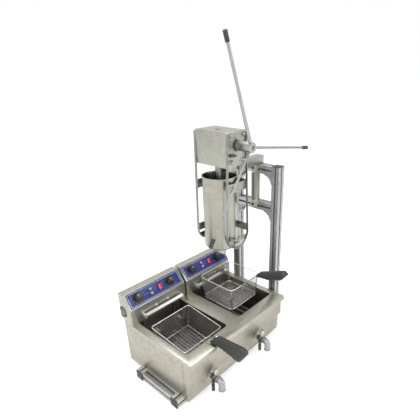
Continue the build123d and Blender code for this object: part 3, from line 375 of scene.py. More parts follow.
metal("rack_steel", (0.36, 0.36, 0.335), 0.34, LEVEL)
metal("valve_nickel", (0.52, 0.52, 0.50), 0.30, (50, 50, 50), patch=0.12)
# Steel of the drain valves' bodies, painted dark: painted shade
metal("valve_shaded_steel", (0.17, 0.16, 0.145), 0.36, (50, 50, 50), patch=0.14)
metal("elbow_grey", (0.34, 0.345, 0.345), 0.34, (40, 40, 40), patch=0.10)
metal("bolt_black", (0.10, 0.10, 0.10), 0.42, (80, 80, 80))

# %% [markdown]
# ## Plastics, print and lenses
# The grips are soft black plastic with a fine moulded grain, the knobs are glossy black, the
# switches are red and let light in, and the panels are printed a deep, glossy blue. The lamps
# and switches shine faintly in their own colour: painted light standing in for daylight in a lens.


# %% Plastic finishes
def plastic(name, colour, rough, grain=500.0, bump=0.25, coat=0.0, wear=0.5, patch=0.25):
    """Moulded plastic or rubber with a fine grain, wiped patches and rubbed edges."""
    tree, shader = new_finish(name)
    plain, stretched = object_coordinates(tree)
    patches = use_group(tree, WIPE, plain, Scale=22.0)
    worn = use_group(tree, WEAR, plain, Amount=wear)
    amount = math_node(tree, "MULTIPLY", patches, patch)
    mottled = blend_colours(tree, amount, colour, shade(colour, 1.7))
    final = blend_colours(tree, worn, mottled, shade(colour, 2.4))
    tree.links.new(final, shader.inputs["Base Color"])
    tree.links.new(remap(tree, patches, 0, 1, rough - 0.06, rough + 0.08), shader.inputs["Roughness"])
    shader.inputs["Coat Weight"].default_value = coat
    shader.inputs["Coat Roughness"].default_value = 0.08
    add_bump(tree, shader, noise_node(tree, stretched, grain, 2.0), bump, 0.0003)


plastic("grip_plastic", (0.028, 0.029, 0.028), 0.50)
plastic("cap_plastic", (0.030, 0.030, 0.028), 0.50, grain=800.0)
plastic("knob_plastic", (0.005, 0.006, 0.007), 0.28, coat=0.15, bump=0.05)
plastic("seal_rubber", (0.55, 0.53, 0.48), 0.55)
plastic("print_white", (0.78, 0.80, 0.82), 0.40, bump=0.05, wear=0.0)
plastic("label_blank", (0.52, 0.44, 0.38), 0.50, grain=300.0, bump=0.08, wear=0.0)
plastic("bezel_plastic", (0.02, 0.02, 0.02), 0.35, bump=0.1)


def lens(name, colour, painted_glow):
    """Coloured translucent plastic whose tone varies in patches; it shines faintly as painted light."""
    tree, shader = new_finish(name)
    patches = use_group(tree, WIPE, object_coordinates(tree)[0], Scale=60.0)
    tone = blend_colours(tree, patches, colour, shade(colour, 0.8))
    tree.links.new(tone, shader.inputs["Base Color"])
    tree.links.new(tone, shader.inputs["Emission Color"])
    shader.inputs["Emission Strength"].default_value = painted_glow
    shader.inputs["Roughness"].default_value = 0.18
    shader.inputs["Coat Weight"].default_value = 0.5
    shader.inputs["Subsurface Weight"].default_value = 0.2
    shader.inputs["Subsurface Scale"].default_value = 0.004


lens("switch_red", (0.80, 0.035, 0.075), 0.25)
lens("lamp_green", (0.06, 0.52, 0.20), 0.15)
lens("lamp_orange", (0.90, 0.30, 0.12), 0.25)
plastic("panel_blue", (0.012, 0.020, 0.175), 0.34, grain=900.0, bump=0.04, coat=0.1, wear=0.0,
        patch=0.12)
print("finishes", len(FINISH))

# %% [markdown]
# ## Modelling helpers
# Every piece starts from a primitive at its own size and place, is shaped in edit mode and
# is finished with modifiers that are applied. An operator works on all that is selected, so
# each step first clears the selection. A CAD part whose shape is right but whose edges are
# knife sharp is copied, its loose triangles are merged, and a small bevel catches the light.


# %% Selection and finishing helpers
def only(piece):
    """Makes a piece the one selected and active object."""
    if bpy.context.mode != "OBJECT":
        bpy.ops.object.mode_set(mode="OBJECT")
    bpy.ops.object.select_all(action="DESELECT")
    piece.hide_set(False)
    piece.select_set(True)
    bpy.context.view_layer.objects.active = piece


def settle(piece):
    """Puts a piece's place, turn and scale into its mesh."""
    only(piece)
    bpy.ops.object.transform_apply(location=True, rotation=True, scale=True)
    return piece


def select_in_edit(piece, kind="FACE", test=lambda item: True):
    """Opens a piece in edit mode with just the faces, edges or corners that pass a test."""
    only(piece)
    bpy.ops.object.mode_set(mode="EDIT")
    bpy.ops.mesh.select_mode(type=kind)
    bpy.ops.mesh.select_all(action="DESELECT")
    mesh = bmesh.from_edit_mesh(piece.data)
    items = {"FACE": mesh.faces, "EDGE": mesh.edges, "VERT": mesh.verts}[kind]
    for item in items:
        if test(item):
            item.select_set(True)
    bmesh.update_edit_mesh(piece.data)


def leave_edit(piece):
    """Leaves edit mode with all faces pointing outwards."""
    bpy.ops.mesh.select_all(action="SELECT")
    bpy.ops.mesh.normals_make_consistent(inside=False)
    bpy.ops.object.mode_set(mode="OBJECT")
    return piece


def smooth(piece, angle):
    """Shades a piece smooth where its faces meet at less than an angle in degrees."""
    only(piece)
    bpy.ops.object.shade_smooth_by_angle(angle=radians(angle))
    return piece


def apply_modifier(piece, kind, **settings):
    """Adds a modifier with its settings and applies it."""
    only(piece)
    modifier = piece.modifiers.new(kind.lower(), kind)
    for name, value in settings.items():
        setattr(modifier, name, value)
    bpy.ops.object.modifier_apply(modifier=modifier.name)
    return piece


def soften(piece, width, segments=2, angle=35.0):
    """Bevels a piece's edges by a width in millimetres and shades it smooth between them."""
    apply_modifier(piece, "BEVEL", width=width * MM, segments=segments, limit_method="ANGLE",
                   angle_limit=radians(angle), use_clamp_overlap=True, harden_normals=False)
    return smooth(piece, 40)


def finish_piece(piece, name, finish, body, stands_for=()):
    """Names a piece, gives it its finish and fixes it to the body it moves with."""
    piece.name = name
    piece.data.name = name
    piece.data.materials.clear()
    piece.data.materials.append(FINISH[finish])
    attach(piece, body)
    if stands_for:
        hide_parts(*stands_for)
    return piece


def cad_copy(node):
    """Copy of a CAD part's mesh with its loose triangles merged into clean faces."""
    copy = bpy.data.objects.new(node + "_finished", nodes[node].data.copy())
    scene.collection.objects.link(copy)
    copy.matrix_world = Matrix.Identity(4)
    only(copy)
    bpy.ops.object.mode_set(mode="EDIT")
    bpy.ops.mesh.select_all(action="SELECT")
    bpy.ops.mesh.remove_doubles(threshold=0.00002)
    bpy.ops.mesh.dissolve_limited(angle_limit=radians(0.6))
    bpy.ops.object.mode_set(mode="OBJECT")
    return copy


def dress(node, finish, bevel):
    """Stands a bevelled copy of a CAD part in its place, in its finish."""
    copy = cad_copy(node)
    shaped = soften(copy, bevel) if bevel else smooth(copy, 35)
    return finish_piece(shaped, node + "_finished", finish, body_of[node], (node,))


def box_piece(low, high):
    """Box primitive between two corners in millimetres."""
    centre = [(a + b) / 2 * MM for a, b in zip(low, high)]
    size = [(b - a) * MM for a, b in zip(low, high)]
    bpy.ops.mesh.primitive_cube_add(size=1.0, location=centre, scale=size)
    return settle(bpy.context.object)


def towards(direction):
    """Rotation that turns +Z to a direction."""
    return Vector(direction).to_track_quat("Z", "Y").to_euler()


def rod_piece(start, end, radius, sides=24):
    """Round bar between two points in millimetres."""
    start, end = Vector(start) * MM, Vector(end) * MM
    along = end - start
    bpy.ops.mesh.primitive_cone_add(
        vertices=sides, radius1=radius * MM, radius2=radius * MM, depth=along.length,
        location=(start + end) / 2, rotation=towards(along))
    return settle(bpy.context.object)


def ball_piece(centre, radius, sides=32):
    """Ball round a point in millimetres."""
    bpy.ops.mesh.primitive_uv_sphere_add(segments=sides, ring_count=sides // 2, radius=radius * MM,
                                         location=Vector(centre) * MM)
    return settle(bpy.context.object)


def scale_round_axis(piece, test, factor):
    """Scales the chosen corners of an upright piece towards or away from its axis."""
    select_in_edit(piece, "VERT", test)
    bpy.ops.transform.resize(value=(factor, factor, 1), center_override=(0, 0, 0))
    return leave_edit(piece)


def join(pieces):
    """Joins several pieces into the first one."""
    only(pieces[0])
    for piece in pieces[1:]:
        piece.select_set(True)
    bpy.ops.object.join()
    return bpy.context.object


def wires_piece(name, routes, radius, sides=1, caps=True):
    """Bent wires as one mesh: each route is a list of points in millimetres."""
    curve = bpy.data.curves.new(name, "CURVE")
    curve.dimensions = "3D"
    curve.bevel_depth = radius * MM
    curve.bevel_resolution = sides
    curve.use_fill_caps = caps
    for route, closed in routes:
        spline = curve.splines.new("POLY")
        spline.points.add(len(route) - 1)
        for point, corner in zip(spline.points, route):
            point.co = (*(Vector(corner) * MM), 1.0)
        spline.use_cyclic_u = closed
    wires = bpy.data.objects.new(name, curve)
    scene.collection.objects.link(wires)
    only(wires)
    bpy.ops.object.convert(target="MESH")
    return smooth(bpy.context.object, 60)


print("helpers ready")

# %% [markdown]
# ## Sheet metal, castings and profiles
# These parts keep their CAD shapes. What they lack is the small radius of a folded sheet or a
# broken edge, so each is copied with a bevel that suits how it is made: a fold in 1.5 mm
# sheet is rounder than the sawn end of a profile.

# %% Dress the CAD parts
# Finish and width of the bevel in millimetres, and the parts that have them
DRESSED = {
    ("rail_aluminium", 0.3): "base_rail_front base_rail_rear",
    ("beam_aluminium", 0.3): "base_cross_rails cross_beams",
    ("profile_aluminium", 0.3): "post_front post_rear", ("cap_plastic", 0.8): "profile_caps",
    ("cast_aluminium", 0.8): "corner_brackets", ("bolt_black", 0.4): "frame_bolts lock_latch",
    ("gearbox_steel", 1.0): "support_arm support_column", ("gearbox_steel", 1.2): "gearbox_housing",
    ("gearbox_steel", 0.5): "gearbox_floor", ("valve_nickel", 0.3): "gearbox_screws",
    ("bronze", 0.3): "shaft_bushes", ("bronze", 0.4): "rack_guide",
    ("tool_steel", 0): "drive_shaft heating_elements", ("tool_steel", 0.15): "pinion",
    # The shaft collar is dressed black as painted shadow: a dark ring where the hub meets the gearbox
    ("hub_steel", 0.4): "hub", ("bolt_black", 0.6): "shaft_collar",
    ("lever_chrome", 0): "lever_upper plain_levers", ("rack_steel", 0.15): "rack",
    ("cylinder_steel", 0.4): "piston", ("seal_rubber", 0.5): "piston_seal",
    ("loop_steel", 0): "front_loop rear_loop", ("band_steel", 0.5): "upper_band lower_band",
    ("cylinder_steel", 0.5): "cylinder", ("hub_steel", 0.5): "nozzle_ring",
    ("hub_steel", 0.2): "star_nozzle", ("skirt_steel", 0.5): "fryer_body",
    ("skirt_steel", 1.0): "front_panel", ("deck_steel", 0.5): "deck",
    # The tanks take the much darker steel: painted shade inside them
    ("tank_shaded_steel", 0.3): "left_tank right_tank", ("head_steel", 1.2): "left_head right_head",
    ("panel_blue", 0.4): "control_panels", ("bezel_plastic", 0.5): "control_units",
    ("mesh_bright", 0.5): "hanging_bars", ("switch_red", 0.5): "left_switch right_switch",
    ("cap_plastic", 0.4): "cable_glands",
    ("grip_plastic", 0.4): "left_drain_lever right_drain_lever",
}
dressed = [dress(node, finish, bevel) for (finish, bevel), parts in DRESSED.items()
           for node in parts.split()]
print("dressed", len(dressed), "parts")

# %% [markdown]
# ## Places on the fryer
# Sizes that are read off the fryer count from its left wall and its lower front wall. The
# control heads have a sloping face: a point on it is given by how far it lies to the right,
# up the slope and out of it. A piece for the slope is made upright and then leant over.

# %% Places on the fryer and on the slope
FRYER_LEFT, FRYER_FRONT = -387.13, -112.6
HEAD_LEFT = {"left": 0.0, "right": 309.0}
SLOPE = atan2(59, 43)
HEAD_WIDTH, HEAD_FRONT, SLOPE_LOW = 297.0, 327.0, 312.0
PANEL_WIDTH, PANEL_LENGTH, PANEL_FACE = 281.0, 67.0, 1.2
KNOBS, LAMP_X, SWITCH_X, CONTROL_UP = {"thermostat": 55, "timer": 228}, 125, 174, 38.0


def place(x, y, z):
    """Point in millimetres, counted from the fryer's left wall and lower front wall."""
    return Vector((FRYER_LEFT + x, FRYER_FRONT + y, z))


def on_slope(side, x, up, out=0.0):
    """Point on a control head's sloping face."""
    return place(HEAD_LEFT[side] + x, HEAD_FRONT + up * cos(SLOPE) - out * sin(SLOPE),
                 SLOPE_LOW + up * sin(SLOPE) + out * cos(SLOPE))


def move_to(piece, point, turn=(0, 0, 0)):
    """Turns a piece that was made round the origin and takes it to a point."""
    piece.rotation_euler = turn
    piece.location = point * MM
    return settle(piece)


def lean_on_slope(piece, side, x, up, out=0.0):
    """Takes an upright piece to the sloping face."""
    return move_to(piece, on_slope(side, x, up, out), (SLOPE, 0, 0))


def disc(radius, height, sides=48, low=0.0):
    """Upright disc round the Z axis, from a level up, in millimetres."""
    return rod_piece((0, 0, low), (0, 0, low + height), radius, sides)


def faces_up(face):
    """True for a flat face that looks along +Z."""
    return face.normal.z > 0.95


def recess_top(piece, rim, depth):
    """Sinks the top face of an upright piece inside a rim; a negative depth raises it."""
    select_in_edit(piece, "FACE", faces_up)
    bpy.ops.mesh.inset(thickness=rim * MM, depth=0)
    bpy.ops.mesh.extrude_region_move(TRANSFORM_OT_translate={"value": (0, 0, -depth * MM)})
    return leave_edit(piece)


print("first knob at", [round(v, 1) for v in on_slope("left", KNOBS["thermostat"], CONTROL_UP)])

# %% [markdown]
# ## Knobs
# A knob is a low skirt with a taller grip on it. The grip starts as a many-sided disc; every
# fourth corner is pulled in towards the axis, which makes shallow flutes for the fingers, and
# its top is sunk a little. A white line on top shows where the knob points.

# %% Knobs
SKIRT_RADIUS, SKIRT_HEIGHT = 24, 4.2
GRIP_RADIUS, GRIP_HEIGHT, GRIP_LOW, GRIP_SIDES = 19.6, 14.5, 4.6, 48
KNOB_FOOT = PANEL_FACE + 0.4


def in_flute(corner):
    """True for every fourth corner round a grip."""
    return round(degrees(atan2(corner.co.y, corner.co.x)) * GRIP_SIDES / 360) % 4 == 0


for side in HEAD_LEFT:
    for control, knob_x in KNOBS.items():
        node = f"{side}_{control}_knob"
        skirt = recess_top(disc(SKIRT_RADIUS, SKIRT_HEIGHT, 60), 1.6, -0.8)
        grip = disc(GRIP_RADIUS, GRIP_HEIGHT, GRIP_SIDES, GRIP_LOW)
        scale_round_axis(grip, in_flute, 0.90)
        scale_round_axis(grip, lambda corner: corner.co.z > 0.01, 0.93)
        recess_top(grip, 2.2, 0.7)
        spindle = disc(3, 17.5, 24, -17)
        knob = join([skirt, grip, spindle])
        lean_on_slope(knob, side, knob_x, CONTROL_UP, KNOB_FOOT)
        finish_piece(soften(knob, 0.7, 3, 30),
                     f"{side}_{control}_dial", "knob_plastic", body_of[node], (node,))
        pointer = box_piece((-0.9, 6.0, 18.2), (0.9, 16.2, 18.9))
        lean_on_slope(pointer, side, knob_x, CONTROL_UP, KNOB_FOOT)
        finish_piece(soften(pointer, 0.2, 1), f"{side}_{control}_pointer", "print_white", body_of[node])
print("knobs", len(HEAD_LEFT) * len(KNOBS))

# %% [markdown]
# ## Print on the panels
# Each panel has a thin white frame line and a ring of tick marks round each knob. The line
# is a flat plate whose middle is cut out after an inset; each tick is a thin box that is
# turned to its place round the knob. All of it stands a tenth of a millimetre over the blue.

# %% Printed line and ticks
PRINT_THICK, FRAME_INSET, FRAME_LINE = 0.1, 4.5, 1.3
TICK_COUNT, TICK_FIRST, TICK_SWEEP = 24, -60, 300
TICK_START, TICK_SHORT_END, TICK_LONG_END = 24.6, 25.5, 26.1


def printed_frame(width, length, line):
    """Flat outline of a rectangle, a tenth of a millimetre thick."""
    bpy.ops.mesh.primitive_plane_add(size=1.0)
    frame_line = bpy.context.object
    frame_line.scale = (width * MM, length * MM, 1)
    settle(frame_line)
    select_in_edit(frame_line)
    bpy.ops.mesh.inset(thickness=line * MM, depth=0)
    bpy.ops.mesh.delete(type="FACE")
    leave_edit(frame_line)
    return apply_modifier(frame_line, "SOLIDIFY", thickness=PRINT_THICK * MM, offset=1)


for side in HEAD_LEFT:
    prints = [printed_frame(PANEL_WIDTH - 2 * FRAME_INSET, PANEL_LENGTH - 2 * FRAME_INSET, FRAME_LINE)]
    lean_on_slope(prints[0], side, HEAD_WIDTH / 2, PANEL_LENGTH / 2 + 3, PANEL_FACE)
    for knob_x in KNOBS.values():
        for number in range(TICK_COUNT):
            tick_end = TICK_SHORT_END if number % 4 else TICK_LONG_END
            tick = box_piece((TICK_START, -0.4, 0), (tick_end, 0.4, PRINT_THICK))
            tick.rotation_euler = (0, 0, radians(TICK_FIRST + TICK_SWEEP * number / (TICK_COUNT - 1)))
            settle(tick)
            prints.append(lean_on_slope(tick, side, knob_x, CONTROL_UP, PANEL_FACE))
    finish_piece(join(prints), f"{side}_panel_print", "print_white", "frame")
print("ticks", len(HEAD_LEFT) * len(KNOBS) * TICK_COUNT)

# %% [markdown]
# ## Lamps and switch frames
# Two small lamps stand one above the other on each panel, each a bright bezel ring with a
# coloured dome. The dome is half a sphere, pressed a little flatter. The red rockers keep
# their CAD shape and sit in a black frame whose middle is cut out.

# %% Lamps and switch frames
lamp_colours = {("left", 28): "lamp_orange", ("left", 48): "lamp_green",
                ("right", 28): "lamp_orange", ("right", 48): "lamp_orange"}
for (side, up), colour in lamp_colours.items():
    bezel = join([recess_top(disc(5.8, 2.2, 40), 1.4, 1.4), disc(3.8, 12, 24, -12)])
    lean_on_slope(bezel, side, LAMP_X, up, PANEL_FACE)
    finish_piece(soften(bezel, 0.4, 2),
                 f"{side}_lamp_bezel_{up}", "valve_nickel", "frame", ("panel_fittings",))
    dome = ball_piece((0, 0, 0), 4.2)
    select_in_edit(dome)
    bpy.ops.mesh.bisect(plane_co=(0, 0, 0), plane_no=(0, 0, 1), clear_inner=True, use_fill=True)
    leave_edit(dome)
    dome.scale = (1, 1, 0.95)
    settle(dome)
    lean_on_slope(dome, side, LAMP_X, up, PANEL_FACE + 0.8)
    finish_piece(smooth(dome, 50), f"{side}_lamp_dome_{up}", colour, "frame")

for side in HEAD_LEFT:
    surround = box_piece((-9.5, -14.8, 0), (9.5, 14.8, 2.2))
    for facing in (1, -1):
        select_in_edit(surround, "FACE", lambda face: face.normal.z * facing > 0.95)
        bpy.ops.mesh.inset(thickness=2.0 * MM, depth=0)
        bpy.ops.mesh.delete(type="FACE")
    select_in_edit(surround, "EDGE", lambda edge: edge.is_boundary)
    bpy.ops.mesh.bridge_edge_loops()
    leave_edit(surround)
    lean_on_slope(surround, side, SWITCH_X, CONTROL_UP, PANEL_FACE)
    finish_piece(soften(surround, 0.6, 3), f"{side}_switch_frame", "bezel_plastic", "frame")
print("lamps", len(lamp_colours))

# %% [markdown]
# ## Wire baskets
# A basket is welded from wire: a strong rim rod, a lighter ring at the floor, corner rods and
# a fine mesh. Each mesh wire runs down one side, and level rings cross them. All routes are
# given in the basket's own axes, with the rim's middle as origin, and are then moved to where
# the basket hangs. The floor's wires are thicker and keep the bright wire colour; the side mesh is a
# darker copy of it: painted shade.

# %% Wire baskets
RIM_HALF, FLOOR_HALF, BASKET_DEEP, MESH_PITCH = 103.0, 94.0, 112.0, 5.2
BAR_Y, BAR_RADIUS, RAISED_RIM_Y = 313.9, 9.5, 194.5
STRAP_DROP, STRAP_HALF, STRAP_THICK = 50.1, 6, 3
HOOK_END = BAR_Y + BAR_RADIUS + 0.4 + STRAP_THICK - RAISED_RIM_Y
BASKETS = {
    "left": {"rim": (place(142, 146, 237), (radians(6), 0, 0)), "grip_x": 148, "corner": 8.0,
             "strut": ((42, 227), (-14, 262))},
    "right": {"rim": (place(473, RAISED_RIM_Y, 323), (0, 0, 0)), "grip_x": 460, "corner": 24.0,
              "strut": ((92, 324), (8, 404))},
}


def half_at(depth):
    """Half the basket's width at a depth under the rim."""
    return RIM_HALF - (RIM_HALF - FLOOR_HALF) * depth / BASKET_DEEP


def rounded_square(half, corner, level, steps=5):
    """Closed route of a square ring with round corners."""
    route = []
    for quarter in range(4):
        middle_x = (half - corner) * (1 if quarter in (0, 3) else -1)
        middle_y = (half - corner) * (1 if quarter in (0, 1) else -1)
        for step in range(steps + 1):
            angle = radians(90 * (quarter + step / steps))
            route.append((middle_x + corner * cos(angle), middle_y + corner * sin(angle), level))
    return route


def in_from_corner(offset, half, corner):
    """How far a wire that runs near a corner stands in from the straight side."""
    beyond = abs(offset) - (half - corner)
    return corner - sqrt(max(corner ** 2 - beyond ** 2, 0)) if beyond > 0 else 0.0


def spaced(reach, pitch):
    """Even offsets from one side to the other, about a pitch apart."""
    count = int(2 * reach / pitch)
    return [-reach + 2 * reach * number / count for number in range(count + 1)]


def side_routes(corner):
    """Routes of the fine wires: upright ones down all four sides, and level rings."""
    routes = []
    for offset in spaced(RIM_HALF - 4, MESH_PITCH):
        low = offset * FLOOR_HALF / RIM_HALF
        top = RIM_HALF - in_from_corner(offset, RIM_HALF, corner)
        foot = FLOOR_HALF - in_from_corner(low, FLOOR_HALF, corner)
        for way in (-1, 1):
            route = [(way * top, offset, 0), (way * foot, low, -BASKET_DEEP)]
            routes += [(route, False), ([(y, x, z) for x, y, z in route], False)]
    for number in range(1, int(BASKET_DEEP / MESH_PITCH)):
        depth = number * MESH_PITCH
        routes.append((rounded_square(half_at(depth), corner, -depth, 4), True))
    return routes


def floor_routes(corner):
    """Routes of the floor's wires: close ones from side to side, sparse ones across."""
    routes = []
    for pitch, lift, swap in ((7.2, 0.0, False), (14.4, -1.4, True)):
        for offset in spaced(FLOOR_HALF - 3, pitch):
            reach = FLOOR_HALF - in_from_corner(offset, FLOOR_HALF, corner)
            route = [(-reach, offset, lift - BASKET_DEEP), (reach, offset, lift - BASKET_DEEP)]
            routes.append(([(y, x, z) for x, y, z in route] if swap else route, False))
    return routes


for side, basket in BASKETS.items():
    node, rim, corner = f"{side}_basket", basket["rim"], basket["corner"]
    mesh = move_to(wires_piece("mesh", side_routes(corner), 0.36, 0), *rim)
    # The side mesh takes the darker copy of the wire colour: painted shade
    finish_piece(mesh, f"{side}_basket_mesh", "mesh_shaded", body_of[node], (node,))
    floor_wires = move_to(wires_piece("floor_wires", floor_routes(corner), 0.8, 1), *rim)
    finish_piece(floor_wires, f"{side}_basket_floor", "mesh_bright", body_of[node])
    rods = [wires_piece("rim", [(rounded_square(RIM_HALF + 1, corner + 1, 0, 8), True)], 1.9, 3)]
    rods.append(wires_piece("foot", [(rounded_square(FLOOR_HALF + 1, corner, -BASKET_DEEP + 1, 6),
                                      True)], 1.9, 2))
    uprights = []
    for way_x in (-1, 1):
        for way_y in (-1, 1):
            out = corner * (1 - cos(radians(45)))
            uprights.append(([(way_x * (RIM_HALF - out), way_y * (RIM_HALF - out), -1),
                              (way_x * (FLOOR_HALF + 1 - out), way_y * (FLOOR_HALF + 1 - out),
                               -BASKET_DEEP + 1)], False))
    rods.append(wires_piece("uprights", uprights, 1.7, 2))
    flats = []
    for strap_x in (-60, 60):
        left_x, right_x = strap_x - STRAP_HALF, strap_x + STRAP_HALF
        back = half_at(STRAP_DROP)
        strap = box_piece((left_x, back - 2, -STRAP_DROP),
                          (right_x, HOOK_END, STRAP_THICK - STRAP_DROP))
        hook = box_piece((left_x, HOOK_END - STRAP_THICK, -STRAP_DROP - 9),
                         (right_x, HOOK_END, 2 - STRAP_DROP))
        stay = box_piece((left_x, RIM_HALF - 3, 1 - STRAP_DROP), (right_x, RIM_HALF - 0.5, 0))
        flats += [soften(part, 0.6, 2) for part in (strap, hook, stay)]
    for clip_x in (-11, 11):
        clip = box_piece((clip_x - 5, -RIM_HALF + 0.5, -14), (clip_x + 5, -RIM_HALF + 2.2, 1))
        rods.append(soften(clip, 0.5, 2))
    finish_piece(move_to(join(rods), *rim), f"{side}_basket_frame", "chrome_wire", body_of[node])
    finish_piece(move_to(join(flats), *rim), f"{side}_basket_straps", "loop_steel", body_of[node])
    (start_y, start_z), (end_y, end_z) = basket["strut"]
    twins = []
    for twin_x in (-11, 11):
        spread = 1.7 * twin_x
        twins.append(([place(basket["grip_x"] + spread, start_y - 2, start_z - 22),
                       place(basket["grip_x"] + spread, start_y - 3, start_z),
                       place(basket["grip_x"] + twin_x, end_y, end_z)], False))
    stay = wires_piece(f"{side}_twin", twins, 2.6, 3)
    finish_piece(stay, f"{side}_basket_stay", "chrome_wire", body_of[node])

# %% [markdown]
# ## Basket grips
# A grip swells from its tail to a thick, drooping nose. It starts as one small plate with
# round corners that is extruded along the grip again and again; after each step the new ring
# is scaled to the grip's width and height there. Some rings stand proud underneath: the
# finger ripples.

# %% Basket grips
# Rings from tail to nose: distance from the lower front wall, lower level, upper level, width
GRIP_RINGS = {
    "left": [(4, 239, 244, 20), (0, 239, 249, 26), (-14, 239, 261, 30), (-28, 239, 273, 30),
             (-37, 239, 280, 30), (-50, 238, 281, 30), (-58, 235, 282, 30), (-66, 239.5, 283, 30),
             (-74, 231.5, 284, 30), (-82, 237, 285, 30), (-90, 228, 285, 30), (-98, 234, 286, 30),
             (-106, 224.5, 287, 30), (-114, 230, 288, 30), (-122, 221.5, 289, 30),
             (-132, 221, 290, 30), (-142, 219, 291, 30), (-152, 225, 292, 30), (-162, 240, 292.5, 30),
             (-171, 254, 289, 28), (-178, 266, 283, 24), (-181.7, 271, 279, 18)],
    "right": [(21, 391, 397, 20), (16, 391, 402, 26), (8, 392, 411, 30), (0, 393, 419, 30),
              (-14, 395, 425, 30), (-30, 397, 431, 30), (-42, 397, 436, 30), (-50, 400, 439, 30),
              (-58, 400, 442.5, 30), (-66, 406, 446, 30), (-74, 406, 449, 30), (-82, 413, 452.5, 30),
              (-90, 412, 455.5, 30), (-98, 419, 459, 30), (-108, 419.5, 463, 30),
              (-116, 424, 466, 30), (-124, 434, 467.5, 30), (-132, 444, 463, 27), (-139, 453, 459, 19)],
}
for side, rings in GRIP_RINGS.items():
    node = f"{side}_basket_grip"
    bpy.ops.mesh.primitive_plane_add(size=1 * MM)
    grip = bpy.context.object
    select_in_edit(grip, "VERT")
    bpy.ops.mesh.bevel(offset=0.32 * MM, segments=5, affect="VERTICES")
    bpy.ops.transform.rotate(value=radians(90), orient_axis="X", center_override=(0, 0, 0))
    leave_edit(grip)
    first = rings[0]
    middle = place(BASKETS[side]["grip_x"], first[0], (first[1] + first[2]) / 2) * MM
    grip.scale = (first[3], 1, first[2] - first[1])
    grip.location = middle
    settle(grip)
    select_in_edit(grip)
    for last, ring in zip(rings, rings[1:]):
        rise = ((ring[1] + ring[2]) - (last[1] + last[2])) / 2
        centre = place(BASKETS[side]["grip_x"], ring[0], (ring[1] + ring[2]) / 2) * MM
        bpy.ops.mesh.extrude_region_move(TRANSFORM_OT_translate={
            "value": (0, (ring[0] - last[0]) * MM, rise * MM)})
        growth = (ring[3] / last[3], 1, (ring[2] - ring[1]) / (last[2] - last[1]))
        bpy.ops.transform.resize(value=growth, center_override=centre)
    leave_edit(grip)
    apply_modifier(grip, "BEVEL", width=1.5 * MM, segments=2, limit_method="ANGLE",
                   angle_limit=radians(60), use_clamp_overlap=True)
    finish_piece(smooth(grip, 40), f"{side}_grip_moulding", "grip_plastic", body_of[node], (node,))
print("grips", len(GRIP_RINGS))

# %% [markdown]
# ## Drain valves
# Each valve is a row of turned and forged parts: a pale flange and nut on the fryer's wall, a
# ball body with its neck and cap nut, a cross stem, and a grey elbow that points down. The
# steel ball body, its neck and nuts and the cross stem are painted dark: painted shade.
# The elbow is a tube with a wall, so its mouth is open.

# %% Drain valves
def tube_piece(name, route, radius, wall, sides=6):
    """Open bent tube along a route, with a wall on its inside."""
    tube = wires_piece(name, [(route, False)], radius, sides, caps=False)
    apply_modifier(tube, "SOLIDIFY", thickness=wall * MM, offset=-1)
    select_in_edit(tube)
    return leave_edit(tube)


def quarter_bend(start, corner, end, radius, steps=8):
    """Route from start to end with its corner rounded off by an arc."""
    start, corner, end = Vector(start), Vector(corner), Vector(end)
    first, second = (start - corner).normalized(), (end - corner).normalized()
    middle = corner + (first + second) * radius
    route = [start]
    for step in range(steps + 1):
        angle = radians(90 * step / steps)
        route.append(middle - second * radius * cos(angle) - first * radius * sin(angle))
    return route + [end]


VALVES, VALVE_Z, SPOUT_REACH, SPOUT_LOW = {"left": 126, "right": 435}, 80, 68, 37
LIP_RADIUS, LIP_CORNERS = 14.4, 24


def turned_parts(valve_x, rows):
    """Rods on a valve's axis: where each starts and ends in front of the wall, radius, sides."""
    return [rod_piece(place(valve_x, -start, VALVE_Z), place(valve_x, -end, VALVE_Z), radius, sides)
            for start, end, radius, sides in rows]


for side, valve_x in VALVES.items():
    pale = turned_parts(valve_x, ((-0.2, 3.8, 16, 40), (3.6, 12, 13.5, 6)))
    pale += [rod_piece(place(valve_x, -34, 90), place(valve_x, -34, 116), 7.5, 32),
             rod_piece(place(valve_x, -34, 114), place(valve_x, -34, 130), 11, 6)]
    finish_piece(soften(join(pale), 0.7, 2),
                 f"{side}_valve_flange", "valve_nickel", "frame", ("drain_valves",))
    # The ball body, neck, nuts and cross stem take the dark steel: painted shade
    dark = [ball_piece(place(valve_x, -26, VALVE_Z), 15, 40)]
    dark += turned_parts(valve_x, ((-22, 47, 8, 32), (11, 18, 12.5, 8), (34, 41, 12.5, 8)))
    for start_x, end_x, radius, sides in ((0, 18.5, 7, 32), (17, 28.5, 4, 24)):
        start, end = [place(valve_x - x, -40, VALVE_Z) for x in (start_x, end_x)]
        dark.append(rod_piece(start, end, radius, sides))
    finish_piece(soften(join(dark), 0.6, 2), f"{side}_valve_body", "valve_shaded_steel", "frame")
    spout_y = -SPOUT_REACH
    route = quarter_bend(place(valve_x, -44, VALVE_Z), place(valve_x, spout_y, VALVE_Z),
                         place(valve_x, spout_y, SPOUT_LOW), 16)
    elbow = tube_piece(f"{side}_elbow", route, 14, 3)
    collar = rod_piece(place(valve_x, -43, VALVE_Z), place(valve_x, -48, VALVE_Z), 15, 40)
    turns = [radians(360 / LIP_CORNERS * number) for number in range(LIP_CORNERS)]
    lip = [place(valve_x + LIP_RADIUS * cos(turn), spout_y + LIP_RADIUS * sin(turn), SPOUT_LOW + 1.4)
           for turn in turns]
    bead = wires_piece("bead", [(lip, True)], 1.2, 2)
    elbow = join([elbow, soften(collar, 0.8, 2), bead])
    finish_piece(smooth(elbow, 50), f"{side}_valve_elbow", "elbow_grey", "frame")
print("valves", len(VALVES))

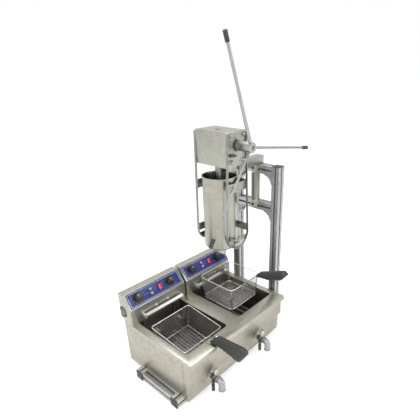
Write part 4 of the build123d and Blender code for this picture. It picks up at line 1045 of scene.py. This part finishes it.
# %% [markdown]
# ## Small fittings
# A black wire hook with a pale washer hangs on the left head's side. Two pale screws sit
# under each panel, screws close the gearbox, and a blank label is stuck on the cylinder. The
# deck's left edge is folded down, and a seam shows where the front sheet wraps the side.

# %% Small fittings
BOX_FRONT, BOX_TOP = 95, 1019
PRESS_X, PRESS_Y = 402, 177
LABEL_RADIUS, LABEL_HEIGHT, LABEL_Z, LABEL_FROM, LABEL_TO = 71.9, 28, 795, 166, 206


def screw(point, direction, radius, height, name, finish):
    """Pan head with a sunk socket, on a surface."""
    head = recess_top(disc(radius, height, 32), radius * 0.55, height * 0.5)
    move_to(head, point, towards(direction))
    soften(head, radius * 0.16, 3)
    return finish_piece(head, name, finish, "frame")


for side in HEAD_LEFT:
    for number, screw_x in enumerate((129, 194), 1):
        screw(place(HEAD_LEFT[side] + screw_x, HEAD_FRONT, 280), (0, -1, 0), 5, 3,
              f"{side}_head_screw_{number}", "print_white")
for number, (screw_x, screw_z) in enumerate(((421, 991), (446, 908)), 1):
    screw(place(screw_x, BOX_FRONT, screw_z), (0, -1, 0), 4.5, 3, f"gearbox_front_screw_{number}",
          "valve_nickel")
for number, (screw_x, screw_y) in enumerate(((400, 97.5), (424, 247)), 1):
    screw(place(screw_x, screw_y, BOX_TOP), (0, 0, 1), 4, 1.4, f"gearbox_top_screw_{number}",
          "valve_nickel")

hook_corners = ((396, 306), (372, 303), (368, 298), (367, 272), (370, 266), (388, 262), (394, 266),
                (398, 300))
hook_route = [place(-3.5, hook_y, hook_z) for hook_y, hook_z in hook_corners]
finish_piece(wires_piece("hook", [(hook_route, True)], 2.2, 3), "side_hook", "cap_plastic", "frame")
screw(place(0, 365, 260), (-1, 0, 0), 6, 1.8, "side_hook_washer", "print_white")

lip_side = box_piece(place(-1.4, -33.6, 222.5), place(0.1, 327, 234.9))
finish_piece(soften(lip_side, 1.2, 4), "deck_side_lip", "deck_steel", "frame")
seams = [box_piece(place(-0.7, seam_y, 25), place(0.1, seam_y + 1.6, 222)) for seam_y in (13.2, 18.4)]
finish_piece(soften(join(seams), 0.3, 2), "side_seam", "skirt_steel", "frame")

bpy.ops.mesh.primitive_cylinder_add(
    vertices=180, radius=LABEL_RADIUS * MM, depth=LABEL_HEIGHT * MM, end_fill_type="NOTHING",
    location=place(PRESS_X, PRESS_Y, LABEL_Z) * MM)
label = settle(bpy.context.object)
label_axis = place(PRESS_X, PRESS_Y, 0) * MM


def off_label(face):
    """True for a face of the ring that lies beside the label."""
    out = face.calc_center_median() - label_axis
    return not LABEL_FROM < degrees(atan2(out.y, out.x)) % 360 < LABEL_TO


select_in_edit(label, "FACE", off_label)
bpy.ops.mesh.delete(type="FACE")
select_in_edit(label)
leave_edit(label)
apply_modifier(label, "SOLIDIFY", thickness=0.25 * MM, offset=-1)
finish_piece(smooth(label, 30), "cylinder_label", "label_blank", "frame")
print("small fittings made")

# %% [markdown]
# ## Lever grips, hub and latch
# The rubber sleeves on the levers have ripples, made by scaling every other ring of a
# cylinder that is cut into many short lengths. A screw head sits in the hub's hex socket,
# and the latch ends in a bright round knob.

# %% Lever sleeves, hub screw and latch knob
SHAFT, LEVER_LEAN = place(422.75, 26, 964.5), radians(2.3)
SLEEVE_RADIUS, SLEEVE_LONG, SLEEVE_INSET, RIPPLES = 7.4, 34.0, 0.5, 12
LEVER_LENGTHS = {111.7: 407.0, -8.4: 385.0, -128.4: 407.0}
sleeves = []


def on_ripple(corner):
    """True for every other ring of a sleeve."""
    return round(corner.co.z / SLEEVE_LONG / MM * RIPPLES) % 2 == 1


for turn, lever_long in LEVER_LENGTHS.items():
    outward = Vector((cos(radians(turn)) * cos(LEVER_LEAN), -sin(LEVER_LEAN),
                      sin(radians(turn)) * cos(LEVER_LEAN)))
    sleeve = disc(SLEEVE_RADIUS, SLEEVE_LONG, 32)
    select_in_edit(sleeve, "EDGE", lambda edge: abs(edge.verts[0].co.z - edge.verts[1].co.z) > 0.02)
    bpy.ops.mesh.subdivide(number_cuts=RIPPLES - 1)
    leave_edit(sleeve)
    scale_round_axis(sleeve, on_ripple, 1.08)
    sleeve.rotation_euler = towards(outward)
    sleeve.location = (SHAFT + outward * (lever_long - SLEEVE_INSET - SLEEVE_LONG)) * MM
    settle(sleeve)
    smooth(sleeve, 50)
    sleeves.append(sleeve)
finish_piece(join(sleeves), "lever_sleeves", "grip_plastic", body_of["lever_grips"], ("lever_grips",))
socket_screw = recess_top(disc(5.5, 3, 32), 2.6, 1.6)
move_to(socket_screw, SHAFT + Vector((0, 0.2, 0)), towards((0, -1, 0)))
finish_piece(soften(socket_screw, 0.5, 2), "hub_socket_screw", "chrome_wire", body_of["hub"])
latch_knob = ball_piece(place(409.5, 87.5, 926.7), 5.2)
finish_piece(smooth(latch_knob, 60), "latch_knob", "hub_steel", body_of["lock_latch"])
print("sleeves", len(LEVER_LENGTHS))
